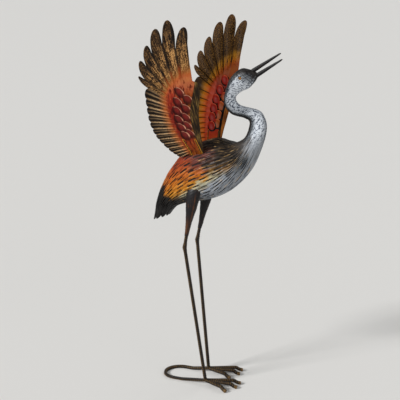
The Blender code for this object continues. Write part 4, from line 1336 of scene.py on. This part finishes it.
def wingPlate():
    # the flat plate as triangles: its outline, feather edges and scale rims, and a fine grid between them
    roots, notches, tips = featherLines()
    outline = wingOutline(roots, notches, tips)
    gap = craneWing["edgeGap"]
    border = spread(outline + outline[:1], gap)[:-1]
    polygon = [tuple(p) for p in border]
    pins = list(border)
    edges = [(i, (i + 1) % len(border)) for i in range(len(border))]
    corners = {tuple(np.round(p, 6)): i for i, p in enumerate(border)}

    def addLine(line):
        first = len(pins)
        pins.extend(line)
        edges.extend((first + j, first + j + 1) for j in range(len(line) - 1))

    for root, notch in zip(roots[1:-1], notches[1:-1]):
        addLine(spread([root, notch], gap)[:-1])
        edges.append((len(pins) - 1, corners[tuple(np.round(notch, 6))]))
    addLine(spread([np.array(p) for p in craneWing["foldLine"]], gap)[2:-1])
    angles = np.linspace(0, 2 * np.pi, 49)[:-1]
    for middle in craneWing["outerScales"] + craneWing["innerScales"]:
        for grow in (0.97, 1.07):
            ring = np.column_stack([np.cos(angles), np.sin(angles)]) * craneWing["scaleHalf"] * grow
            pins += list(ring @ scaleAxes() + middle)
    for start, end in zip(*slitLines()):
        way = (end - start) / math.dist(start, end)
        for off in [sign * off for off in craneWing["slitRows"] for sign in (-1, 1)]:
            row = spread([start, end], gap) + np.array([-way[1], way[0]]) * off
            pins += list(row[insidePolygon(row, polygon)])

    tree = KDTree(len(pins))
    for i, p in enumerate(pins):
        tree.insert((p[0], p[1], 0), i)
    tree.balance()
    step = craneWing["meshGap"]
    low, high = np.min(border, axis=0), np.max(border, axis=0)
    grid = []
    for j, up in enumerate(np.arange(low[1], high[1], step * 0.866)):
        for x in np.arange(low[0] + (j % 2) * step / 2, high[0], step):
            grid.append((x, up))
    grid = np.array(grid)
    grid = grid[insidePolygon(grid, polygon)]
    pins += [p for p in grid if tree.find((p[0], p[1], 0))[2] > step * 0.55]
    coords = [Vector((float(p[0]), float(p[1]))) for p in pins]
    flat, _, faces, _, _, _ = delaunay_2d_cdt(coords, edges, [list(range(len(border)))], 1, 1e-7)
    return np.array([tuple(p) for p in flat]), faces


def makeWing(name, node, side, flat, faces):
    lift, fields = wingFields(flat)
    center = wingPoints(flat[:, 0], flat[:, 1], lift, side)
    triangles = np.array([f[:3] for f in faces])
    a, b, c = (center[triangles[:, i]] for i in range(3))
    facing = np.cross(b - a, c - a)
    normals = np.zeros_like(center)
    for i in range(3):
        np.add.at(normals, triangles[:, i], facing)
    normals /= np.maximum(np.linalg.norm(normals, axis=1, keepdims=True), 1e-12)
    if np.mean(normals[:, 1] * side) > 0:
        normals = -normals  # towards the other wing
    half = craneWing["sheet"] / 2
    verts = np.vstack([center + normals * half, center - normals * half])
    count = len(center)
    allFaces = [tuple(f) for f in faces] + [tuple(i + count for i in reversed(f)) for f in faces]
    used = {(f[i], f[(i + 1) % len(f)]) for f in faces for i in range(len(f))}
    allFaces += [(b, a, a + count, b + count) for a, b in sorted(used) if (b, a) not in used]
    data = {key: np.concatenate([values, values]) for key, values in fields.items()}
    data["innerFace"] = np.concatenate([np.ones(count), np.zeros(count)])
    dress(makePiece(name, verts, allFaces, wingPaint, data, 50), "wing_paint", node)


flatPlate, plateFaces = wingPlate()
makeWing("rightWing", "right_wing", -1, flatPlate, plateFaces)
makeWing("leftWing", "left_wing", 1, flatPlate, plateFaces)
print("stage: wings")
